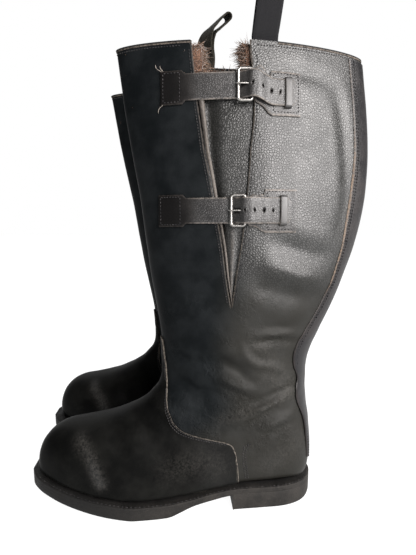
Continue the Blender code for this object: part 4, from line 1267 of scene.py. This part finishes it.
def strap_sheet(strap, y, low, high, lift, thickness):
    """A flat piece on the side of the shaft from heights low to high about the strap's line."""
    z = strap_z(strap, y)[:, None] + low[:, None] + (high - low)[:, None] * (ACROSS + 1) / 2
    grid_y = np.broadcast_to(y[:, None], z.shape)
    rim = np.broadcast_to(EDGE_DROP, z.shape).copy()
    rim[[0, -1]] = 0.5
    outer = on_side(grid_y, z, lift[:, None] + thickness - rim)
    inner = on_side(grid_y, z, lift[:, None] + 0.2 * rim)
    worn = np.broadcast_to((np.abs(ACROSS) > 0.95) * 1.0, z.shape).copy()
    worn[[0, -1]] = 1.0
    late = ease(-26, -6, y)[:, None]
    tags = {
        "wear": worn * 0.7 * (0.12 + 0.88 * late),
        "grain": 0.25 + 0.6 * late,
        "gloss": 0.04 + 0.96 * late,
        "dark": 1 - ease(-38, -8, y)[:, None],
    }
    return sheet(outer, inner, tags=tags)


def billet_lift(strap):
    """How far the strap stands off the leather at places along it."""
    start, patch_end = strap["patch"]
    bar, square = strap["bar"], strap["square"][0]
    over = BAR_LIFT + BAR_RADIUS + CHAPE_THICKNESS + 0.9
    rest = CHAPE_THICKNESS + 1.2
    return [
        (start - 5, 0.5), (patch_end, 0.5), (patch_end + 12, 0.6), (bar - 8, 0.6), (bar - 3, 0.4),
        (bar + 2.2, 0.4), (bar + 6.5, 3.4), (bar + BAR_SPACING - 1, over),
        (bar + BAR_SPACING + 4, over), (square - 2, rest + 1.2), (square + 5, rest), (square + 60, rest),
    ]  # fmt: skip


def punched(boot, strap, target, holes):
    """Holes through a strap, each from one place along it to another."""
    plugs = []
    turns = np.arange(16) * pi / 8 + pi / 16
    for start, end, radius in holes:
        y = np.where(np.cos(turns) > 0, end, start) + radius * np.cos(turns)
        z = strap_z(strap, start) + radius * np.sin(turns)
        plugs.append(sweep([on_side(y, z, lift) for lift in (-0.5, 13.0)]))
    cut(target, piece(boot, "punch", joined(plugs), "strap", body=None))


def sewn_patch(strap, near, far, half, lift):
    """Stitches round a patch from near to far along the strap's line, half high on either side of it."""
    rows = []
    corners = [(far, half), (far, -half), (near, -half), (near, half)]
    for (ya, za), (yb, zb) in zip(corners, corners[1:] + corners[:1]):
        y = np.linspace(ya, yb, 24)
        b, angle = spot(y, strap_z(strap, y) + np.linspace(za, zb, 24))
        rows.append(sewn(b, angle, lift, 2.9))
    return rows


def strap_pieces(boot, name, strap):
    """The punched strap with its sewn patches, and what belongs to its buckle."""
    bar, end = strap["bar"], strap["end"]
    start, patch_end = strap["patch"]
    y = np.concatenate([[start, start + 0.4, start + 1.2], np.arange(start + 3, end + 11.5, 1.5),
                        [end + 12.2, end + 12.8, end + 13]])  # fmt: skip
    plain = STRAP_WIDTH / 2
    half = eased([(start, 15.2), (patch_end - 1.5, 15.2), (patch_end + 1.5, plain), (end + 9, plain),
                  (end + 13, plain - 5), (end + 20, 6)], y)  # fmt: skip
    lift = eased(billet_lift(strap), y)
    solid = strap_sheet(strap, y, -half, half, lift, STRAP_THICKNESS)
    billet = piece(boot, f"{name}_strap", solid, "strap", f"{name}_billet")
    holes = [(bar + 3.6, bar + 7.4, 1.15)]
    holes += [(at, at, 0.95) for at in bar + 12.6 + HOLE_PITCH * np.arange(4) if at < end + 6]
    punched(boot, strap, billet, holes)
    near, far = strap["square"]
    rows = sewn_patch(strap, start + 2.2, patch_end - 3.5, 13, 0.5 + STRAP_THICKNESS)
    rows += sewn_patch(strap, near + 2.6, far - 2.4, 17.3, 0.6 + CHAPE_THICKNESS)
    piece(boot, f"{name}_strap_stitches", joined(rows), "thread")
    chape(boot, name, strap)
    keeper(boot, name, strap)
    buckle(boot, name, strap)
    if name == "upper":
        loose_threads(boot, strap)


def chape(boot, name, strap):
    """The square patch, its neck with one rounded ear, and the fold round the back bar."""
    near, far = strap["square"]
    hinge = strap["bar"] + BAR_SPACING
    y = np.concatenate([[far, far - 0.4, far - 1.2], np.arange(far - 3, hinge + 2, -1.4)])
    ear = 20.5 if name == "upper" else 15.0
    high = eased([(hinge, 11.5), (hinge + 4, ear * 0.86), (hinge + 7.5, ear),
                  (hinge + 11, ear * 0.93), (near - 3, 15), (near - 0.5, 14.5), (near + 0.4, 19.5),
                  (far + 1, 19.5)], y)  # fmt: skip
    low = -eased([(hinge, 11.5), (hinge + 5, 14.2), (hinge + 9, 15), (near - 1, 19.5), (near + 1, 20.5),
                  (far + 1, 20.5)], y)  # fmt: skip
    lift = 0.6 + 0.8 * ease(far - 7, far, y) * (name == "lower")
    flat = strap_sheet(strap, y, low, high, lift, CHAPE_THICKNESS)
    piece(boot, f"{name}_chape_leather", flat, "strap", f"{name}_chape")
    ring = BAR_RADIUS + 0.45 + CHAPE_THICKNESS / 2
    turns = np.radians(np.linspace(-90, 90, 15))
    fold_y = np.concatenate([[hinge + 3.2], hinge - ring * np.cos(turns), [hinge + 4, hinge + 7.5]])
    fold_lift = np.concatenate([[BAR_LIFT - ring], BAR_LIFT + ring * np.sin(turns), [5.2, 3.4]])
    for low_z, high_z, label in ((-11, -2.1, "low"), (2.1, 11, "high")):
        z = strap_z(strap, fold_y)[:, None] + np.linspace(low_z, high_z, 6)
        centre = on_side(fold_y[:, None], z, fold_lift[:, None])
        out = unit(np.cross(np.gradient(centre, axis=0), np.gradient(centre, axis=1)))
        thick = out * CHAPE_THICKNESS / 2
        tags = {"wear": 0.15, "grain": 0.3, "gloss": 0.6}
        solid = sheet(centre + thick, centre - thick, tags=tags)
        piece(boot, f"{name}_chape_fold_{label}", solid, "strap")


def keeper(boot, name, strap):
    """The loop over the strap's end: its bar is bowed and has round shoulders."""
    bottom = 0.6 + CHAPE_THICKNESS + 0.3
    top = CHAPE_THICKNESS + 1.2 + STRAP_THICKNESS + 1.0
    half = STRAP_WIDTH / 2 + 1.1
    corner = 1.6
    shoulder = [(half - corner * (1 - cos(a)), top - corner * (1 - sin(a)))
                for a in np.linspace(pi / 2, 0, 5)]  # fmt: skip
    path = [(-half, bottom)] + [(-dz, lift) for dz, lift in shoulder[::-1]]
    path += [(dz, top + 0.25 * (1 - (dz / half) ** 2)) for dz in np.linspace(-half + 3, half - 3, 9)]
    dz, lift = np.array(path + shoulder + [(half, bottom)]).T
    y = strap["end"] + 1.5 + KEEPER_WIDTH / 2
    z = strap_z(strap, y) + dz
    centres = on_side(y, z, lift)
    across = unit(on_side(y + 1, z, lift) - centres)
    up = unit(np.cross(across, np.gradient(centres, axis=0)))
    points, faces, tags = ribbon(centres, across, up, KEEPER_WIDTH / 2, 1.3, bow=0.25)
    tags = {"wear": tags["wear"] * 0.6, "grain": 0.15, "gloss": 0.8}
    solid = (points, faces, tags)
    piece(boot, f"{name}_keeper_leather", solid, "strap", f"{name}_keeper")


def strap_frame(strap):
    """Middle of the back bar, and the directions along it, towards the outer bar and outward."""
    hinge = strap["bar"] + BAR_SPACING
    z = strap_z(strap, hinge)
    middle, low, high = (plain_side(hinge, z + dz, BAR_LIFT) for dz in (0, -10, 10))
    up = unit(high - low)
    outer = plain_side(strap["bar"], strap_z(strap, strap["bar"]), BAR_LIFT + 0.25)
    out = unit(np.cross(up, middle - outer))
    out = out if out[0] > 0 else -out
    ahead = np.cross(out, up)
    return middle, up, ahead if ahead @ (outer - middle) > 0 else -ahead, out


def plain_side(y, z, lift):
    b, angle = spot(y, z)
    return skin(b, angle) + facing(b, angle) * lift


def buckle(boot, name, strap):
    """The wire frame, and the prong that is bent round its back bar."""
    middle, up, ahead, out = strap_frame(strap)
    corner = FRAME_CORNER
    near, far = corner, BAR_SPACING - corner
    side_line = FRAME_WIDTH / 2 - BAR_RADIUS - corner
    path = []
    for start, along, across in ((180, near, -side_line), (270, far, -side_line), (0, far, side_line),
                                 (90, near, side_line)):  # fmt: skip
        for turn in np.linspace(0, 90, 7):
            angle = radians(start + turn)
            turned = up * (across + corner * sin(angle))
            path.append(middle + ahead * (along + corner * cos(angle)) + turned)
    path = np.array(path)
    order = []
    for a, b in zip(path, np.roll(path, -1, 0)):
        steps = max(int(np.linalg.norm(b - a) / 2.5), 1)
        order += [a + (b - a) * k / steps for k in range(steps)]
    frame = tube(np.array(order), BAR_RADIUS, 12, loop=True)
    body = f"{name}_buckle"
    piece(boot, f"{name}_buckle_frame", frame, "steel", body, body)
    ring = BAR_RADIUS + 0.35 + 0.8
    eye = np.radians(np.linspace(-70, -295, 14))
    path = [middle + (ahead * cos(t) + out * sin(t)) * ring for t in eye]
    height = BAR_RADIUS + 0.8 + 0.55
    tongue = ((4.0, 2.5), (6.5, 2.7), (9, height), (11.5, height), (14.2, height), (15.4, height - 0.3))
    path += [middle + ahead * along + out * above for along, above in tongue]
    path = curve(path, 60)
    radius = np.interp(np.arange(60), [0, 20, 45, 56, 59], [0.7, 0.8, 0.85, 0.75, 0.45])
    body = f"{name}_prong"
    piece(boot, f"{name}_buckle_prong", tube(path, radius, 10), "steel", body, body)


def loose_threads(boot, strap):
    """Ends of thread left at the corners of the sewn patch."""
    parts = []
    for points in (
        [(1, 15, 2), (-1.5, 16.5, 3.4), (-3.5, 18.6, 3.0), (-4.6, 21.5, 1.4)],
        [(2.5, 15.2, 2), (0.5, 17.6, 2.8), (-0.4, 20, 1.6)],
        [(2, -15, 2), (0.2, -17, 3.2), (-1.8, -19, 2.4), (-2.6, -21.5, 1.2)],
    ):
        dy, dz, lift = curve(points, 14).T
        parts.append(tube(on_side(strap["patch"][0] + dy, strap["z"] + dz, lift), 0.3, 6))
    piece(boot, "loose_threads", joined(parts), "pale_thread")


# --- pull loops -----------------------------------------------------------------------------


def pull_loop(boot, name):
    """A loop of webbing whose two ends go down between the leather and the fleece."""
    x, y, outward = LOOP_PLACES[name]
    height, slant, droop = LOOP_STANDS[boot, name]
    gap, t = LOOP_HALF_GAP, LOOP_THICKNESS / 2
    high = height - gap
    leg = [(-1.1, -11), (-1.15, -7), (-1.5, -3), (-2.6 - t, 3), (-gap * 0.8 - t, 0.25 * height),
           (-gap - t, 0.55 * height), (-gap - t, high)]  # fmt: skip
    turns = np.radians([150, 120, 90, 60, 30])
    arc = [((gap + t) * cos(a), high + (gap + t) * sin(a)) for a in turns]
    path = leg + arc + [(-u, v) for u, v in leg[::-1]]
    u, v = curve(path, 130).T
    lean = radians(droop) * outward * ease(-4, 6, v)
    height = np.where(v > 0, v * np.cos(lean) + u * np.sin(lean), v)
    centres = np.stack([x + u * np.cos(lean) - v * np.sin(lean) * (v > 0),
                        y + slant * np.maximum(v, 0), LOOP_HINGE_Z + height], -1)  # fmt: skip
    across = np.broadcast_to(unit(np.array([0.0, 1.0, 0.0])), centres.shape)
    up = unit(np.cross(np.gradient(centres, axis=0), across))
    solid = ribbon(centres, across, up, LOOP_WIDTH / 2, LOOP_THICKNESS)
    finish_loop(solid, boot, name, "webbing")


def near_inner_loop():
    """The left boot's inner loop: its legs lie together, twist edge-on and flop towards the heel."""
    x, y, _ = LOOP_PLACES["inner"]
    # Height, y and x of the middle of the two legs, the tape's twist, and half the legs' distance.
    stops = curve([
        (453, 0.0, 0.0, 0, 1.1), (460, 0.3, 0.0, 4, 1.2), (467, 0.8, 0.2, 22, 1.4),
        (476, 1.5, 0.6, 46, 1.5), (485, 2.8, 1.0, 52, 1.6), (492, 6.2, 1.2, 56, 2.0),
        (497.5, 12.0, 1.4, 61, 2.7), (503, 18.2, 1.4, 65, 3.3), (507.5, 23.0, 1.4, 67, 3.4),
    ], 70)  # fmt: skip
    folded_half_width, end_round = 11.5, 3.4
    middle = np.stack([x + stops[:, 2], y + stops[:, 1], stops[:, 0]], -1)
    turn = np.radians(stops[:, 3])
    ahead = unit(np.gradient(middle, axis=0))
    across = np.stack([np.sin(turn), np.cos(turn), 0 * turn], -1)
    across = unit(across - ahead * np.einsum("ij,ij->i", across, ahead)[:, None])
    apart = np.cross(ahead, across) * stops[:, 4:]
    round_ = np.linspace(0, pi, 17)[1:-1, None]
    end = middle[-1] + apart[-1] * np.cos(round_) + ahead[-1] * end_round * np.sin(round_)
    centres = np.concatenate([middle + apart, end, (middle - apart)[::-1]])
    across = np.concatenate([across, np.repeat(across[-1:], len(end), 0), across[::-1]])
    up = unit(np.cross(np.gradient(centres, axis=0), across))
    solid = ribbon(centres, across, up, folded_half_width, LOOP_THICKNESS)
    finish_loop(solid, "left", "inner", "tape")


def finish_loop(solid, boot, name, look):
    """The loop's piece, in place of its CAD node and in no body, with its placing baked into its mesh."""
    node = f"{name}_pull_loop"
    made = piece(boot, node + "_webbing", solid, look, node, None)
    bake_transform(made)


# --- the whole ------------------------------------------------------------------------------


def inside_nodes(nodes):
    """The pieces inside the boots keep their CAD shapes, with their own materials."""
    finishes = {
        "toe_puff": "board", "heel_counter": "board", "insole": "board", "cork_filler": "board",
        "shank": "steel", "outer_loop_tab": "webbing", "inner_loop_tab": "webbing",
    }  # fmt: skip
    for boot in SIDES:
        for node, finish in finishes.items():
            for slot in nodes[f"{boot}_{node}"].material_slots:
                slot.material = LOOKS[finish]


def boot_pieces(boot):
    shaft(boot)
    vamp(boot)
    gusset(boot)
    backstay(boot)
    seam_stitches(boot)
    rand(boot)
    top_binding(boot)
    fleece(boot)
    sole(boot)
    for name, strap in STRAPS.items():
        strap_pieces(boot, name, strap)
    for name in LOOP_PLACES:
        if (boot, name) in LOOP_STANDS:
            pull_loop(boot, name)


def camera():
    """At the height of the calf, 40 cm from the left boot's outer side, turned a little to the toes."""
    yaw, pitch = radians(4.5), radians(6.8)
    lens, long_side = 430.0, 555.0
    data = bpy.data.cameras.new("camera")
    data.sensor_width = 36.0
    data.lens = lens / long_side * data.sensor_width
    data.clip_start = 0.02
    made = bpy.data.objects.new("camera", data)
    made.location = (0.5236, -0.01925, 0.2895)
    made.rotation_mode = "QUATERNION"
    ahead = Vector((-cos(yaw) * cos(pitch), sin(yaw) * cos(pitch), -sin(pitch)))
    made.rotation_quaternion = ahead.to_track_quat("-Z", "Y")
    bpy.context.scene.collection.objects.link(made)
    bpy.context.scene.camera = made


def area_light(name, location, target, size, power, colour=(1, 1, 1)):
    data = bpy.data.lights.new(name, "AREA")
    data.shape = "RECTANGLE"
    data.size, data.size_y = size
    data.energy = power
    data.color = colour
    made = bpy.data.objects.new(name, data)
    made.location = location
    made.rotation_mode = "QUATERNION"
    made.rotation_quaternion = (Vector(target) - Vector(location)).to_track_quat("-Z", "Y")
    bpy.context.scene.collection.objects.link(made)


def studio():
    """A pale floor, a window-like light from the heel side, and a world brighter far behind."""
    scene = bpy.context.scene
    scene.view_settings.view_transform = "Standard"
    mesh = bpy.data.meshes.new("floor")
    reach = 12.0
    corners = [(x * reach, y * reach, 0) for x, y in ((-1, -1), (1, -1), (1, 1), (-1, 1))]
    mesh.from_pydata(corners, [], [(0, 1, 2, 3)])
    floor = bpy.data.objects.new("floor", mesh)
    floor.location.z = -0.0002
    look = Look("pale_floor", roughness=0.9, specular=0.1)
    look.set("Base Color", look.mix(look.noise(90, 3.0), (0.14, 0.14, 0.14), (0.17, 0.17, 0.17)))
    look.set("Emission Color", (1.0, 1.0, 1.0))
    look.set("Emission Strength", 0.97)
    mesh.materials.append(look.material)
    scene.collection.objects.link(floor)
    world = bpy.data.worlds.new("studio")
    world.use_nodes = True
    tree = world.node_tree
    back = tree.nodes["Background"]
    place_node = tree.nodes.new("ShaderNodeTexCoord")
    split = tree.nodes.new("ShaderNodeSeparateXYZ")
    tree.links.new(place_node.outputs["Generated"], split.inputs[0])
    ramp = tree.nodes.new("ShaderNodeMapRange")
    ramp.interpolation_type = "SMOOTHSTEP"
    for name, number in (("From Min", -0.78), ("From Max", -0.5), ("To Min", 1.0), ("To Max", 0.035)):
        ramp.inputs[name].default_value = number
    tree.links.new(split.outputs["X"], ramp.inputs["Value"])
    tree.links.new(ramp.outputs["Result"], back.inputs["Strength"])
    back.inputs["Color"].default_value = (1, 1, 1, 1)
    scene.world = world
    area_light("window", (1.35, 1.0, 0.82), (0.11, 0.10, 0.36), (1.6, 1.0), 98.0, (1.0, 0.965, 0.95))
    area_light("ceiling", (-1.4, 0.0, 2.2), (-0.3, 0, 0), (3.0, 3.0), 40.0)


def main():
    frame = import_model()
    LOOKS.update(all_looks())
    for boot in SIDES:
        boot_pieces(boot)
    near_inner_loop()
    inside_nodes(frame["nodes"])
    camera()
    studio()


main()
